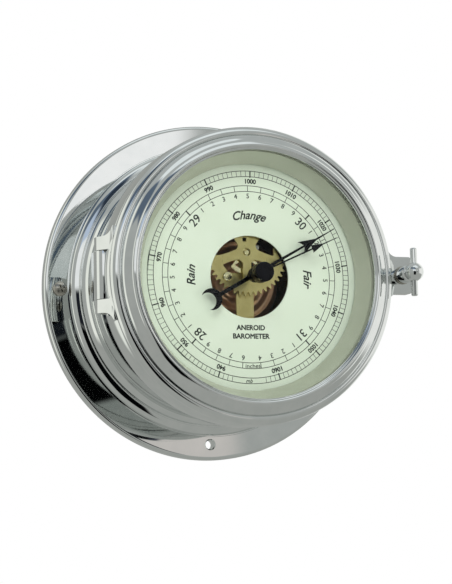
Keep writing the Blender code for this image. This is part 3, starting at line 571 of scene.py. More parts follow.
def make_knuckle():
    """Block and barrel of the hinge on the drum, and the pin through it."""
    left = HINGE_X - HINGE_BARREL
    barrel = arc((HINGE_X, HINGE_Z), HINGE_BARREL, 178, 0, 24)
    outline = [(-64.0, 52.0), (-64.0, 60.0), (HINGE_X + HINGE_BARREL, 60.0)] + barrel[::-1]
    outline += [(left, 54.0), (left + 0.5, 52.4), (left + 1.4, 52.0)]
    knuckle = side_block("knuckle_block", outline, -KNUCKLE_HALF, KNUCKLE_HALF, CHROME, 0.35)
    clear_of_drum(knuckle)
    cut(knuckle, bar("bore_tool", HINGE_PIN + GAP, 60.0, None, (HINGE_X, 0.0, HINGE_Z)))
    stand_up(knuckle, "case", "chrome", "hinge_knuckle")
    pin = bar("hinge_pin_rod", HINGE_PIN, 2.0 * ARM_HALF - 0.8, STEEL, (HINGE_X, 0.0, HINGE_Z))
    stand_up(pin, "case", "steel", "hinge_pin")


def make_lug():
    """Tongue on the drum that the clamp screw goes into."""
    low = CLAMP_Y - 5.2
    high = CLAMP_Y + 5.2
    outline = [(60.0, low)] + arc((84.9, low + 2.5), 2.5, -90, 0, 8)
    outline += arc((84.9, high - 2.5), 2.5, 0, 90, 8) + [(60.0, high)]
    lug = plate("clamp_lug", [outline], 58.4, 7.9, CHROME)
    soften(lug, 0.5)
    clear_of_drum(lug)
    cut(lug, peg("lug_hole_tool", 2.75, 80.0, 50.0, at=(CLAMP_X, CLAMP_Y)))
    stand_up(lug, "case", "chrome", "latch_lug")


def bezel_profile():
    """Side wall, bead, quirk, ogee band and rolled lip, then the bore behind."""
    outline = [(DRUM_INNER, BEZEL_REAR), (BEZEL_RADIUS - 1.6, BEZEL_REAR),
               (BEZEL_RADIUS - 0.8, BEZEL_REAR), (BEZEL_RADIUS - 0.25, BEZEL_REAR + 0.25),
               (BEZEL_RADIUS, BEZEL_REAR + 0.8), (BEZEL_RADIUS, BEZEL_REAR + 1.6),
               (BEZEL_RADIUS, 73.6), (BEZEL_RADIUS - 0.25, 74.1), (BEZEL_RADIUS, 74.5)]
    outline += arc((71.9, 75.6), 3.4, -6, 104, 22)
    outline += [(71.0, 78.4), (70.75, 78.5), (70.6, 78.9)]
    outline += sweep((70.6, 79.3), (69.9, 82.6), (67.4, 82.2), (66.3, 84.2), 18)
    outline += arc((64.7, 83.5), 1.4, 62, 150, 10)
    outline += [(63.2, 84.0), (63.0, 83.9), (62.75, 84.1), (LIP_RADIUS, 83.9),
                (LIP_RADIUS, GLASS_SEAT), (DRUM_INNER, GLASS_SEAT)]
    return outline


def arm_outline():
    """Side view of a hinge arm, from the eye round the pin up into the bead."""
    left = HINGE_X - HINGE_BARREL
    eye = arc((HINGE_X, HINGE_Z), HINGE_BARREL, 0, -90, 10)
    front = sweep((left, 62.8), (left + 0.3, 65.4), (-75.2, 66.6), (-73.6, 72.0), 12)
    return [(-69.6, 74.0)] + eye + [(left + 0.9, HINGE_Z - HINGE_BARREL), (left, 59.3)] + front \
        + [(-73.2, 74.0)]


def flared_arm(side):
    """One arm; its outer face spreads where it meets the ring."""
    near = side * (KNUCKLE_HALF + GAP)
    far = side * ARM_HALF
    arm = side_block(f"arm_{side}", arm_outline(), min(near, far), max(near, far), CHROME, 0.7)
    for vert in arm.data.vertices:
        rise = max(0.0, (vert.co.z - 65.5) / 8.5)
        if side * vert.co.y > KNUCKLE_HALF + 2.0:
            vert.co.y += side * 4.5 * rise ** 2.2
    return arm


def ear_outline():
    """The clamp's ear, flared where it leaves the ring."""
    top = CLAMP_Y + EAR_HALF
    low = CLAMP_Y - EAR_HALF
    upper = arc((80.0, top + 5.0), 5.0, 200, 270, 10)
    lower = arc((80.0, low - 5.0), 5.0, 90, 160, 10)
    end = arc((EAR_END - 2.0, low + 2.0), 2.0, -90, 0, 6)
    end += arc((EAR_END - 2.0, top - 2.0), 2.0, 0, 90, 6)
    return [(71.0, top + 3.3)] + upper + end[::-1] + lower + [(71.0, low - 3.3)]


def make_bezel():
    ring = turned("bezel_ring", bezel_profile(), CHROME)
    for side in (-1, 1):
        join(ring, flared_arm(side))
    ear = plate("ear", [ear_outline()], EAR_BACK, EAR_FRONT - EAR_BACK, CHROME)
    soften(ear, 0.45)
    join(ring, ear)
    cut(ring, bar("arm_bore_tool", HINGE_PIN + GAP, 60.0, None, (HINGE_X, 0.0, HINGE_Z)))
    cut(ring, peg("ear_hole_tool", 2.6, 80.0, 60.0, at=(CLAMP_X, CLAMP_Y)))
    stand_up(ring, "bezel", "chrome", "bezel")


def make_clamp():
    """Ball-ended clamp screw, its cross bar and washer."""
    low = WASHER_TOP + GAP
    ball = arc((0.0, BALL_Z), 4.9, 90, -42, 30)
    outline = ball + [(3.55, 83.4), (3.75, 83.0), (4.4, 82.4), (4.5, 81.8), (4.5, 80.0),
                      (4.5, low + 0.8), (4.25, low + 0.2), (4.0, low), (2.3, low),
                      (2.3, STEM_END + 0.6), (1.7, STEM_END), (0.0, STEM_END)]
    screw = turned("clamp_ball_screw", outline, CHROME, 96, False, (CLAMP_X, CLAMP_Y))
    centre = (CLAMP_X, CLAMP_Y, BALL_Z)
    cut(screw, bar("bar_hole_tool", 1.9, 30.0, None, centre))
    stand_up(screw, "clamp_screw", "chrome", "clamp_screw")
    cross = bar("clamp_cross_bar", 1.75, BAR_LENGTH, CHROME, centre, 'y', 48, 0.8)
    stand_up(cross, "clamp_screw", "chrome", "clamp_bar")
    washer = turned("clamp_ring", rounded([(2.6, WASHER_TOP), (4.7, WASHER_TOP),
                                           (4.7, WASHER_TOP - 0.6), (2.6, WASHER_TOP - 0.6)],
                                          0.15, 2), STEEL, 64, True, (CLAMP_X, CLAMP_Y))
    stand_up(washer, "clamp_washer", "steel", "clamp_washer")


# ---- glazing
def make_glazing():
    """Bevelled pane, the sloping ring behind it and the bush in its middle."""
    outline = [(2.9, GLASS_TOP), (20.0, GLASS_TOP), (57.8, GLASS_TOP), (58.0, GLASS_TOP - 0.01),
               (GLASS_RADIUS - 0.1, GLASS_TOP - 1.0), (GLASS_RADIUS, GLASS_TOP - 1.1),
               (GLASS_RADIUS, GLASS_BACK + 0.1), (GLASS_RADIUS - 0.1, GLASS_BACK),
               (2.9, GLASS_BACK)]
    pane = turned("bevelled_pane", outline, GLASS)
    stand_up(pane, "bezel", "glass", "glass", sharp=5.0)
    # slopes in from under the glass to the edge of the scales; its sage-grey, darker than the dial,
    # is a painted reflection of the dial
    ring = [(62.4, GLASS_BACK - GAP), (GLASS_RADIUS, GLASS_BACK - GAP), (GLASS_RADIUS, 70.2),
            (57.2, 70.2), (57.1, 70.3), (57.1, 70.5), (57.2, 70.7)]
    stand_up(turned("sight_ring", ring, SURROUND_PAINTED_REFLECTION), "bezel", "surround",
             "glass_retaining_ring")
    bush = rounded([(1.8, GLASS_TOP + 0.9), (3.6, GLASS_TOP + 0.9), (3.6, GLASS_TOP + GAP),
                    (2.6, GLASS_TOP + GAP), (2.6, GLASS_BACK - 0.1), (1.8, GLASS_BACK - 0.1)],
                   0.15, 2)
    stand_up(turned("pane_bush", bush, BLACK, 48), "bezel", "black", "spindle_bush")


# ---- hands
def closed_by_mirror(upper):
    """An outline from its upper half, root to tip, closed by the same half below."""
    lower = [(x, -y) for x, y in reversed(upper) if abs(y) > 1e-6]
    return upper + lower


def make_set_hand():
    """Plain knob outside the glass, and the slim marker hand inside."""
    knob = [(0.0, KNOB_FRONT), (3.4, KNOB_FRONT), (4.3, KNOB_FRONT - 0.1)]
    knob += arc((4.3, KNOB_FRONT - 0.75), 0.68, 75, 0, 6)
    knob += [(4.98, 84.2), (4.8, 83.8), (4.4, 83.6), (1.5, 83.6), (1.5, 76.0), (0.0, 76.0)]
    stand_up(turned("set_knob", knob, BLACK, 72, False), "set_hand", "black", "set_hand_knob")
    upper = [(2.4, 0.45), (34.2, 0.4)]
    upper += sweep((34.2, 0.4), (34.6, 1.2), (34.3, 1.5), (33.9, 2.0), 5)[1:]
    upper += sweep((33.9, 2.0), (36.4, 1.5), (38.6, 0.8), (40.4, 0.34), 8)[1:]
    upper += [(49.0, 0.16)]
    blade = plate("set_hand_blade", [closed_by_mirror(upper)], SET_HAND_Z - 0.25, 0.5, BLACK,
                  0.08, (0.0, 0.0), SET_HAND_ANGLE)
    collet = turned("set_collet", rounded([(1.8, 78.8), (3.9, 78.8), (3.9, 76.4), (1.8, 76.4)],
                                          0.3, 3), BLACK, 64)
    join(blade, collet)
    stand_up(blade, "set_hand", "black", "set_hand")


def make_pointer():
    """Pointer: swept barbs, slim shaft and a crescent counterpoise."""
    hollow = arc((-27.25, 0.0), 4.35, 0, 107, 16)
    outside = arc((-25.0, 0.0), 5.5, 130, 12, 22)
    upper = hollow + outside + [(-19.0, 0.95), (-2.4, 1.1), (2.4, 1.0), (32.6, 0.5)]
    upper += sweep((32.6, 0.5), (32.0, 1.6), (31.2, 2.6), (30.4, 3.4), 6)[1:]
    upper += sweep((30.4, 3.4), (34.0, 2.4), (37.2, 1.2), (40.0, 0.48), 10)[1:]
    upper += [(51.5, 0.14)]
    hand = plate("pressure_pointer", [closed_by_mirror(upper)], POINTER_Z - 0.3, 0.6, BLACK,
                 0.1, (0.0, 0.0), POINTER_ANGLE)
    hub = turned("pointer_boss", [(0.0, 74.6), (2.2, 74.6), (2.6, 74.2), (2.6, 72.4),
                                  (2.4, 72.2), (0.0, 72.2)], BLACK, 48, False)
    join(hand, hub)
    stand_up(hand, "pointer", "black", "pointer_hand")


# ---- node-built patterns
def repeat_round_tree(name):
    """Nodes that stand a number of small boxes round a circle; all sizes are inputs."""
    tree = bpy.data.node_groups.new(name, 'GeometryNodeTree')
    sizes = (("Count", 'NodeSocketInt'), ("Start", 'NodeSocketFloat'), ("Step", 'NodeSocketFloat'),
             ("Inner", 'NodeSocketFloat'), ("Outer", 'NodeSocketFloat'),
             ("Width", 'NodeSocketFloat'), ("Height", 'NodeSocketFloat'),
             ("Low", 'NodeSocketFloat'), ("Finish", 'NodeSocketMaterial'))
    for label, kind in sizes:
        tree.interface.new_socket(label, in_out='INPUT', socket_type=kind)
    tree.interface.new_socket("Geometry", in_out='OUTPUT', socket_type='NodeSocketGeometry')
    given = add(tree, 'NodeGroupInput').outputs
    length = add(tree, 'ShaderNodeMath', {0: given["Outer"], 1: given["Inner"]},
                 operation='SUBTRACT')
    total = add(tree, 'ShaderNodeMath', {0: given["Outer"], 1: given["Inner"]}, operation='ADD')
    middle = add(tree, 'ShaderNodeMath', {0: total.outputs[0], 1: 0.5}, operation='MULTIPLY')
    half = add(tree, 'ShaderNodeMath', {0: given["Height"], 1: 0.5}, operation='MULTIPLY')
    height = add(tree, 'ShaderNodeMath', {0: half.outputs[0], 1: given["Low"]}, operation='ADD')
    size = add(tree, 'ShaderNodeCombineXYZ', {0: length.outputs[0], 1: given["Width"],
                                             2: given["Height"]})
    box = add(tree, 'GeometryNodeMeshCube', {"Size": size.outputs[0]})
    spot = add(tree, 'ShaderNodeCombineXYZ', {0: middle.outputs[0], 2: height.outputs[0]})
    moved = add(tree, 'GeometryNodeTransform', {"Geometry": box.outputs["Mesh"],
                                               "Translation": spot.outputs[0]})
    points = add(tree, 'GeometryNodePoints', {"Count": given["Count"]})
    index = add(tree, 'GeometryNodeInputIndex')
    turn = add(tree, 'ShaderNodeMath', {0: index.outputs[0], 1: given["Step"],
                                       2: given["Start"]}, operation='MULTIPLY_ADD')
    radians = add(tree, 'ShaderNodeMath', {0: turn.outputs[0]}, operation='RADIANS')
    rotation = add(tree, 'ShaderNodeCombineXYZ', {2: radians.outputs[0]})
    copies = add(tree, 'GeometryNodeInstanceOnPoints', {
        "Points": points.outputs[0], "Instance": moved.outputs[0],
        "Rotation": rotation.outputs[0]})
    real = add(tree, 'GeometryNodeRealizeInstances', {"Geometry": copies.outputs[0]})
    coated = add(tree, 'GeometryNodeSetMaterial', {"Geometry": real.outputs[0],
                                                  "Material": given["Finish"]})
    add(tree, 'NodeGroupOutput', {0: coated.outputs[0]})
    return tree


ROUND_THE_DIAL = repeat_round_tree("marks_round_a_circle")


def marks(name, look, count, start, step, inner, outer, width, low, height=INK, centre=(0, 0)):
    """Boxes set round a circle: printed ticks, gear teeth."""
    part = add_object(name, bpy.data.meshes.new(name), None)
    pattern = part.modifiers.new("pattern", 'NODES')
    pattern.node_group = ROUND_THE_DIAL
    values = {"Count": count, "Start": start, "Step": step, "Inner": inner, "Outer": outer,
              "Width": width, "Height": height, "Low": low, "Finish": look}
    for item in ROUND_THE_DIAL.interface.items_tree:
        if item.in_out == 'INPUT':
            pattern[item.identifier] = values[item.name]
    settled(part)
    part.data.transform(Matrix.Translation((centre[0], centre[1], 0.0)))
    return part


# ---- dial
def ring_line(name, radius, width):
    half = width / 2.0
    outline = [(radius - half, INK_LOW + INK), (radius + half, INK_LOW + INK),
               (radius + half, INK_LOW), (radius - half, INK_LOW)]
    return turned(name, outline, INK_BLACK)


def font_swell(weight):
    """How far a letter's outline is fattened; a hair even for light type, to give it height."""
    return max(weight, 0.01)


def lettering(name, text, height, radius, angle, weight=0.0, slant=0.0, upright=False,
              stretch=1.0, straight=False):
    """Text bent round the dial with its tops outward; upright turns the tops to the centre."""
    font = bpy.data.curves.new(name, 'FONT')
    font.body = text
    font.size = height / 0.72
    font.align_x = 'CENTER'
    font.bevel_depth = font_swell(weight)
    font.bevel_resolution = 0
    font.shear = slant
    font.resolution_u = 4
    mesh = mesh_in_place_of(add_object(name, font, None))
    sign = -1.0 if upright else 1.0
    flatten = INK / 2.0 / font_swell(weight)
    middle = INK_LOW + INK / 2.0
    for vert in mesh.vertices:
        vert.co.z *= flatten
        if straight:
            vert.co.y -= radius + height / 2.0
            vert.co.z += middle
            continue
        reach = radius + sign * (vert.co.y - height / 2.0)
        turn = math.radians(angle) - sign * vert.co.x * stretch / radius
        vert.co = (reach * math.cos(turn), reach * math.sin(turn), middle + vert.co.z)
    return add_object(name, mesh, INK_BLACK)


def merged(name, parts):
    """One mesh from several that share a finish."""
    shape = bmesh.new()
    for part in parts:
        shape.from_mesh(part.data)
        bpy.data.objects.remove(part, do_unlink=True)
    mesh = bpy.data.meshes.new(name)
    shape.to_mesh(mesh)
    shape.free()
    return add_object(name, mesh, INK_BLACK)


def mb_angle(reading):
    return 90.0 - (reading - MB_TOP) * MB_STEP


def inch_angle(reading):
    return 90.0 - (reading - INCH_TOP) * 10.0 * INCH_STEP


def make_dial():
    """Enamelled plate, with the two scales printed on it."""
    outline = rounded([(DIAL_OPENING, DIAL_FRONT), (DIAL_RADIUS, DIAL_FRONT),
                       (DIAL_RADIUS, DIAL_BACK), (DIAL_OPENING, DIAL_BACK)], 0.12, 2)
    stand_up(turned("dial_plate", outline, DIAL_ENAMEL), "case", "dial", "dial")
    rings = [ring_line(f"ring_{k}", radius, 0.32) for k, radius in
             enumerate((MB_OUTER, MB_INNER, INCH_OUTER, INCH_INNER))]
    rings.append(marks("mb_ticks", INK_BLACK, 127, mb_angle(1063), MB_STEP, MB_INNER, MB_OUTER,
                       0.22, INK_LOW))
    rings.append(marks("mb_tens", INK_BLACK, 13, mb_angle(1060), MB_STEP * 10, MB_INNER - 0.5,
                       MB_OUTER + 0.1, 0.62, INK_LOW))
    rings.append(marks("inch_ticks", INK_BLACK, 39, inch_angle(31.4), INCH_STEP, INCH_INNER,
                       INCH_OUTER, 0.3, INK_LOW))
    rings.append(marks("inch_whole", INK_BLACK, 4, inch_angle(31.0), INCH_STEP * 10,
                       INCH_INNER - 0.3, INCH_OUTER, 0.66, INK_LOW))
    stand_up(merged("scale_marks", rings), "case", "dial")


def make_lettering():
    """Numerals of both scales, the weather words and the plain words below."""
    words = []
    for reading in range(940, 1061, 10):
        words.append(lettering(f"mb_{reading}", str(reading), 2.3, 48.7, mb_angle(reading),
                               0.13))
    for tenth in range(276, 315):
        if tenth % 10:
            words.append(lettering(f"tenth_{tenth}", str(tenth % 10), 2.5, 41.2,
                                   inch_angle(tenth / 10.0), 0.05))
        else:
            words.append(lettering(f"inch_{tenth}", str(tenth // 10), 4.4, 39.9,
                                   inch_angle(tenth / 10.0), 0.07))
    for text, angle in (("Change", 90.0), ("Rain", 180.0), ("Fair", 0.0)):
        words.append(lettering(f"word_{text.lower()}", text, 4.4, 31.6, angle, 0.13, 0.35))
    words.append(lettering("unit_inches", "inches", 2.1, 44.9, 270.8, 0.03, 0.0, True, 1.12))
    words.append(lettering("unit_mb", "mb", 2.0, 52.4, 268.2, 0.05, 0.3, True))
    for text, drop in (("ANEROID", 25.6), ("BAROMETER", 29.9)):
        words.append(lettering(f"name_{text.lower()}", text, 2.5, drop, 270.0, 0.14,
                               straight=True))
    stand_up(merged("dial_lettering", words), "case", "dial")


# ---- movement
TOOTH_COUNT = 18
TOOTH_START = 201.0
TOOTH_END = 339.0


def bridge_edge():
    """Toothed rim below, swept arms and the stem above."""
    pitch = (TOOTH_END - TOOTH_START) / TOOTH_COUNT
    centre = (0.0, PIVOT_Y)
    edge = []
    for number in range(TOOTH_COUNT):
        base = TOOTH_START + number * pitch
        edge += [polar(20.4, base, centre), polar(20.3, base + 0.14 * pitch, centre),
                 polar(20.6, base + 0.22 * pitch, centre), polar(22.1, base + 0.40 * pitch, centre),
                 polar(22.3, base + 0.46 * pitch, centre), polar(22.3, base + 0.60 * pitch, centre),
                 polar(22.1, base + 0.66 * pitch, centre), polar(20.6, base + 0.84 * pitch, centre)]
    upper = [(20.0, 6.8), (18.3, 9.6), (16.8, 12.4), (15.2, 15.6), (14.5, 15.4), (14.5, 11.2),
             (10.1, 12.5), (5.4, 14.4), (4.7, 16.6), (6.9, 19.8), (7.4, 24.0), (3.0, 30.0),
             (-3.0, 30.0), (-7.4, 24.0), (-6.9, 19.8), (-4.7, 16.6), (-5.4, 14.4),
             (-10.1, 12.5), (-14.5, 11.2), (-21.5, 11.0), (-22.6, 8.8), (-21.6, 6.0)]
    return edge + rounded(upper, 0.9, 4, closed=False)


def lower_window(side):
    """Opening between the stem, an arm and the toothed rim."""
    rim_start = 207.0 if side < 0 else 333.0
    rim_end = 261.0 if side < 0 else 279.0
    rim = arc((0.0, PIVOT_Y), 14.6, rim_start, rim_end, 20)
    top = rounded([rim[-1], (side * 2.2, 7.4), (side * 4.1, 9.2), (side * 8.4, 8.2), rim[0]],
                  0.5, 4, closed=False)
    return rim + top[1:-1]


def make_front_bridge():
    """Pierced plate over the movement, with bearings for both arbors and a square opening."""
    holes = [round_hole((0.0, PIVOT_Y), 2.0, 36), round_hole((0.0, 0.0), 1.2),
             round_hole(BRIDGE_SCREW_LEFT, 1.3), round_hole((0.0, PILLAR_TOP_Y), 1.3),
             [(-2.2, 18.4), (-0.2, 18.4), (-0.2, 20.4), (-2.2, 20.4)],
             lower_window(-1), lower_window(1)]
    bridge = plate("bridge_plate", [bridge_edge()] + holes, BRIDGE_BACK, 1.0, PLATE_BRASS, 0.1)
    stand_up(bridge, "case", "brass", "front_bridge", sharp=SHEET_EDGE)


def make_strap():
    """Rear plate of the movement: a broad strap below, narrow above, with three tabs."""
    wide = 4.7
    narrow = 3.0
    tab = bench_box("rear_strap")[1][0]
    low = bench_middle("rocking_bearing_lower")[1]
    top = bench_middle("rocking_bearing_upper")[1]
    corners = [(wide, low - 1.2), (tab, low - 1.2), (tab, low + 1.2), (narrow, low + 1.2),
               (narrow, top - 1.6), (tab, top - 1.6), (tab, top + 1.6), (narrow, top + 1.6)]
    outline = arc((0.0, PILLAR_LOW_Y), wide, 180, 360, 24)
    outline += rounded(corners, 0.5, 3, closed=False)
    outline += arc((0.0, PILLAR_TOP_Y), narrow, 0, 180, 16)
    outline += rounded([(-narrow, 2.8), (-13.4, 2.8), (-13.4, -2.2), (-narrow, -2.2),
                        (-narrow, -4.0), (-wide, -6.0)], 0.5, 3, closed=False)
    holes = [round_hole((0.0, 0.0), 1.1), round_hole((0.0, PIVOT_Y), 1.1)]
    strap = plate("strap_plate", [outline] + holes, STRAP_BACK, 1.0, PLATE_BRASS, 0.1)
    stand_up(strap, "case", "brass", "rear_strap", sharp=SHEET_EDGE)


def make_bridge_screws():
    """Two cheese-head screws that hold the bridge to its pillars."""
    head = BRIDGE_BACK + 1.0 + GAP
    for number, spot in enumerate(((0.0, PILLAR_TOP_Y), BRIDGE_SCREW_LEFT)):
        outline = [(0.0, head + 1.1), (1.7, head + 1.1), (2.15, head + 0.95),
                   (2.4, head + 0.6), (2.4, head), (1.0, head), (1.0, head - 4.0),
                   (0.0, head - 4.0)]
        screw = turned(f"bridge_screw_head_{number}", outline, TURNED_BRASS, 48, False, spot)
        slot = plate("slot_tool", [[(-3.0, -0.3), (3.0, -0.3), (3.0, 0.3), (-3.0, 0.3)]],
                     head + 0.6, 2.0, None, 0.0, spot, 35.0)
        cut(screw, slot)
        node = ("bridge_screw_upper", "bridge_screw_left")[number]
        stand_up(screw, "case", "brass", node)


def make_sector():
    """Spoked, toothed quadrant on its arbor, and the pinion it drives."""
    rim = arc((0.0, 0.0), 10.6, 222, 318, 40)
    outline = [(-1.2, 3.0), (-1.2, 1.6), (-2.2, 0.0)] + rim
    outline += [(2.2, 0.0), (1.2, 1.6), (1.2, 3.0)] + arc((0.0, 3.0), 1.2, 20, 160, 8)
    window = arc((0.0, 0.0), 8.6, 228, 312, 30) + [(0.0, -2.6)]
    low = bench_box("sector_gear")[1][2] - 0.8
    gear = plate("sector_quadrant", [outline, window, round_hole((0.0, 0.0), 0.9)], low, 0.8,
                 TURNED_BRASS, 0.06, (0.0, PIVOT_Y))
    teeth = marks("sector_teeth", TURNED_BRASS, 55, 223.0, 94.0 / 54.0, 10.4, 11.0, 0.18,
                  low + 0.05, 0.7, (0.0, PIVOT_Y))
    join(gear, peg("sector_pin", 0.5, low + 0.4, low - 1.3, 20, (0.0, PIVOT_Y + 3.0)))
    stand_up(gear, "sector", "brass", "sector_gear", sharp=SHEET_EDGE)
    stand_up(teeth, "sector", "brass")
    arbor = turned("sector_staff", [(0.0, 66.4), (1.0, 66.4), (1.3, 66.1), (1.3, 64.6),
                                    (0.6, 64.6), (0.6, 59.9), (0.0, 59.9)], TURNED_BRASS, 40,
                   False, (0.0, PIVOT_Y))
    stand_up(arbor, "sector", "brass", "sector_arbor")
    low = STRAP_BACK + 2.0
    staff = turned("pointer_staff", [(0.0, 71.9), (0.7, 71.9), (0.7, low + 2.0),
                                     (1.2, low + 2.0), (1.2, low), (0.7, low), (0.7, 59.3),
                                     (0.0, 59.3)], STEEL, 32, False)
    stand_up(staff, "pointer", "steel", "pointer_arbor")
    leaves = marks("pinion_leaves", STEEL, 12, 0.0, 30.0, 1.1, 1.5, 0.3, low + 0.05, 1.9)
    stand_up(leaves, "pointer", "steel")


def diaphragm_profile(side, hole):
    """Corrugated half of the capsule, as a thin closed section."""
    middle = 46.0
    points = []
    for step in range(91):
        radius = hole + (CAPSULE_RADIUS - 0.2 - hole) * step / 90.0
        fall = min(1.0, (CAPSULE_RADIUS - radius) / 4.0)
        wave = 0.75 * math.sin(2.0 * math.pi * radius / 6.6) if radius < 20.9 else 0.0
        points.append((radius, middle + side * (0.45 + (4.75 + wave) * fall)))
    return points + [(r, z - side * 0.25) for r, z in reversed(points)]


def make_capsule():
    for node, side, hole in (("capsule_front", 1, 1.7), ("capsule_rear", -1, 2.4)):
        half = turned(f"{node}_diaphragm", diaphragm_profile(side, hole), COPPER, 160)
        stand_up(half, "case", "copper", node, sharp=60.0)


def make_hairspring():
    """Flat spiral of fine steel strip round the pointer's arbor."""
    curve = bpy.data.curves.new("spring_spiral", 'CURVE')
    curve.dimensions = '3D'
    curve.bevel_depth = 0.1
    curve.bevel_resolution = 1
    curve.use_fill_caps = True
    spline = curve.splines.new('POLY')
    turns = 4.5
    count = 260
    spline.points.add(count)
    for step, point in enumerate(spline.points):
        share = step / count
        x, y = polar(1.8 + 3.6 * share, 360.0 * turns * share)
        point.co = (x, y, 60.0, 1.0)
    mesh = mesh_in_place_of(add_object("spring_spiral", curve, None))
    weld(mesh)
    stand_up(add_object("spring_spiral", mesh, STEEL), "case", "steel", "hairspring")


# ---- carried-over nodes
def finish_frame_nodes():
    """Give every node that still shows its own finish."""
    looks = {"chrome": CHROME, "brass": TURNED_BRASS, "copper": COPPER, "steel": STEEL,
             "black": BLACK, "dial": DIAL_ENAMEL, "surround": SURROUND_PAINTED_REFLECTION, "glass": GLASS,
             "rubber": RUBBER}
    for entry in frame["record"]["subparts"]:
        node = frame["nodes"][entry["node"]]
        look = looks[entry["material_slot"]]
        # the base plate and dial posts deep in the drum take the dark brass of painted shade
        if entry["node"] in ("base_plate", "dial_post_1", "dial_post_2", "dial_post_3"):
            look = BRASS_PAINTED_SHADE
        for place in node.material_slots:
            place.material = look


# ---- stage
def make_camera():
    """Seen from the left and a little below, with a long lens."""
    data = bpy.data.cameras.new("camera")
    data.sensor_width = 36.0
    data.lens = 138.2
    camera = bpy.data.objects.new("camera", data)
    bpy.context.scene.collection.objects.link(camera)
    forward = Vector((0.3467, 0.9306, 0.1177))
    right = Vector((0.9378, -0.3464, -0.0234))
    up = right.cross(forward)
    camera.matrix_world = Matrix((
        (right.x, up.x, -forward.x, -0.4019), (right.y, up.y, -forward.y, -1.1140),
        (right.z, up.z, -forward.z, -0.1400), (0.0, 0.0, 0.0, 1.0)))
    bpy.context.scene.camera = camera


def make_floor():
    mesh = bpy.data.meshes.new("studio_floor")
    shape = bmesh.new()
    bmesh.ops.create_circle(shape, cap_ends=True, segments=96, radius=1.3)
    bmesh.ops.translate(shape, vec=(0.0, 0.0, -0.42), verts=shape.verts)
    shape.to_mesh(mesh)
    shape.free()
    made, tree, spot = start_material("studio_floor_paper")
    shader = lay_finish(tree, cloud(tree, spot, 120.0), ("#f4f4f2", "#f1f1ef"),
                        **{"Roughness": 0.8, "Emission Color": colour("#ffffff"),
                           "Emission Strength": 0.3})
    add(tree, 'ShaderNodeOutputMaterial', {"Surface": shader})
    floor = add_object("studio_floor", mesh, made)
    floor.visible_glossy = False


def make_light(name, place, target, size, power, shade):
    data = bpy.data.lights.new(name, 'AREA')
    data.shape = 'RECTANGLE'
    data.size, data.size_y = size
    data.energy = power
    data.color = colour(shade)[:3]
    light = bpy.data.objects.new(name, data)
    bpy.context.scene.collection.objects.link(light)
    light.location = place
    aim = Vector(target) - Vector(place)
    light.rotation_euler = aim.to_track_quat('-Z', 'Y').to_euler()
    # polished metal sees the studio's cards, not the lamps
    light.visible_glossy = False
    light.visible_transmission = False


# Each card's left, right, low and high edge in degrees as seen from the dial, the width of
# its soft edge, and its tone.  Angles across run from straight ahead, positive to the right.
CARDS = (
    (-146.0, -88.0, -24.0, 46.0, 9.0, "#f6f8f0"),   # white paper behind, left
    (-190.0, -146.0, -30.0, 46.0, 6.0, "#a3a5a1"),  # the wall itself, in shade
    (100.0, 150.0, -24.0, 46.0, 9.0, "#f6f8f4"),    # white paper behind, right
    (150.0, 190.0, -30.0, 46.0, 6.0, "#a3a5a1"),    # and the wall on that side
    (-40.0, 44.0, 42.0, 74.0, 9.0, "#eff5f6"),      # overhead softbox
    (42.0, 100.0, -16.0, 28.0, 10.0, "#f6f6f3"),    # window on the right
    (-70.0, -3.0, 32.0, 51.0, 5.0, "#5c6a7b"),      # blue-black drape, upper left
    (-15.0, -4.0, 24.0, 40.0, 4.0, "#2e3846"),      # its fold
    (-36.0, -14.0, 17.0, 31.0, 5.0, "#bccbe0"),     # pale blue reflector
    (-29.0, 1.0, -40.0, -4.0, 3.0, "#040506"),      # black cloth round the camera
    (-38.0, 0.0, 6.8, 21.0, 2.0, "#f6f8f8"),        # white reflector, front left
    (-24.0, -6.0, -4.0, 6.0, 1.5, "#1c2026"),       # cloth hanging below it
    (13.0, 19.6, 6.8, 14.0, 1.0, "#ffffff"),        # tall window, front
    (10.0, 16.2, 3.4, 6.8, 0.5, "#ffffff"),
    (16.0, 18.2, -6.0, 6.6, 0.6, "#343a44"),        # stand in front of the window
    (8.0, 17.2, -6.0, 3.2, 0.5, "#0a0b0d"),
    (18.0, 20.6, -6.0, 5.0, 0.8, "#cfcac6"),
)


def card_mask(tree, across, up, card):
    """One inside the card and zero outside, with soft edges."""
    left, right, low, high, soft, _ = card
    mask = None
    for angle, start, end in ((across, left, right), (up, low, high)):
        for edge, sign in ((start, 1.0), (end, -1.0)):
            side = add(tree, 'ShaderNodeMapRange', {
                "Value": angle, "From Min": edge - sign * soft / 2.0,
                "From Max": edge + sign * soft / 2.0}, interpolation_type='SMOOTHSTEP').outputs[0]
            if mask:
                side = add(tree, 'ShaderNodeMath', {0: mask, 1: side},
                           operation='MULTIPLY').outputs[0]
            mask = side
    return mask


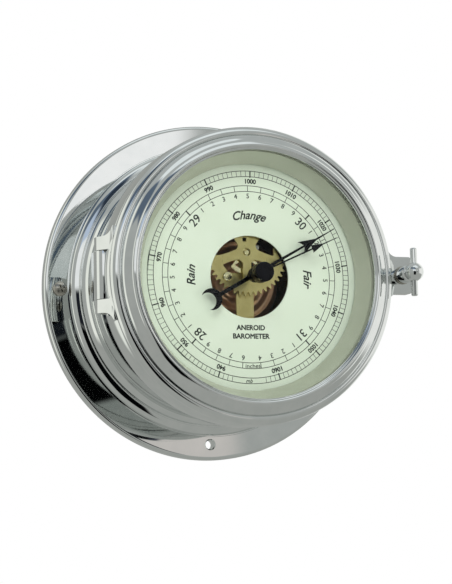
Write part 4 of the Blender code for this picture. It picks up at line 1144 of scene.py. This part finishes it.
def make_studio():
    """A grey studio with pale and dark cards, as polished metal sees it all round."""
    world = bpy.data.worlds.new("studio")
    bpy.context.scene.world = world
    world.use_nodes = True
    tree = world.node_tree
    tree.nodes.clear()
    way = add(tree, 'ShaderNodeTexCoord').outputs["Generated"]
    axes = add(tree, 'ShaderNodeSeparateXYZ', {"Vector": way}).outputs
    ahead = add(tree, 'ShaderNodeMath', {0: axes["Y"], 1: -1.0}, operation='MULTIPLY').outputs[0]
    turn = add(tree, 'ShaderNodeMath', {0: axes["X"], 1: ahead}, operation='ARCTAN2').outputs[0]
    across = add(tree, 'ShaderNodeMath', {0: turn}, operation='DEGREES').outputs[0]
    rise = add(tree, 'ShaderNodeMath', {0: axes["Z"]}, operation='ARCSINE').outputs[0]
    up = add(tree, 'ShaderNodeMath', {0: rise}, operation='DEGREES').outputs[0]
    share = add(tree, 'ShaderNodeMapRange', {"Value": up, "From Min": -30.0,
                                            "From Max": 60.0}).outputs[0]
    tone = add(tree, 'ShaderNodeMix', {0: share, 6: colour("#a4a6a2"), 7: colour("#b4b8b7")},
               data_type='RGBA').outputs[2]
    for card in CARDS:
        mask = card_mask(tree, across, up, card)
        tone = add(tree, 'ShaderNodeMix', {0: mask, 6: tone, 7: colour(card[-1])},
                   data_type='RGBA').outputs[2]
    lit = add(tree, 'ShaderNodeBackground', {"Color": tone, "Strength": 1.0})
    plain = add(tree, 'ShaderNodeBackground', {"Color": colour("#ffffff"), "Strength": 1.0})
    ray = add(tree, 'ShaderNodeLightPath')
    seen = add(tree, 'ShaderNodeMixShader', {0: ray.outputs["Is Camera Ray"],
                                            1: lit.outputs[0], 2: plain.outputs[0]})
    add(tree, 'ShaderNodeOutputWorld', {"Surface": seen.outputs[0]})
    bpy.context.scene.view_settings.view_transform = 'Standard'
    make_light("key_softbox", (-0.35, -1.25, 0.95), (0.0, 0.0, 0.0), (1.0, 0.8), 13.5, "#ffffff")
    make_light("fill_softbox", (0.9, -1.3, 0.3), (0.0, 0.0, 0.0), (0.9, 0.9), 6.0, "#fffaf6")


make_camera()
finish_frame_nodes()
make_case()
make_back_cover()
make_mounting_screw()
make_knuckle()
make_lug()
make_bezel()
make_clamp()
make_glazing()
make_set_hand()
make_pointer()
make_dial()
make_lettering()
make_front_bridge()
make_strap()
make_bridge_screws()
make_sector()
make_capsule()
make_hairspring()
make_floor()
make_studio()
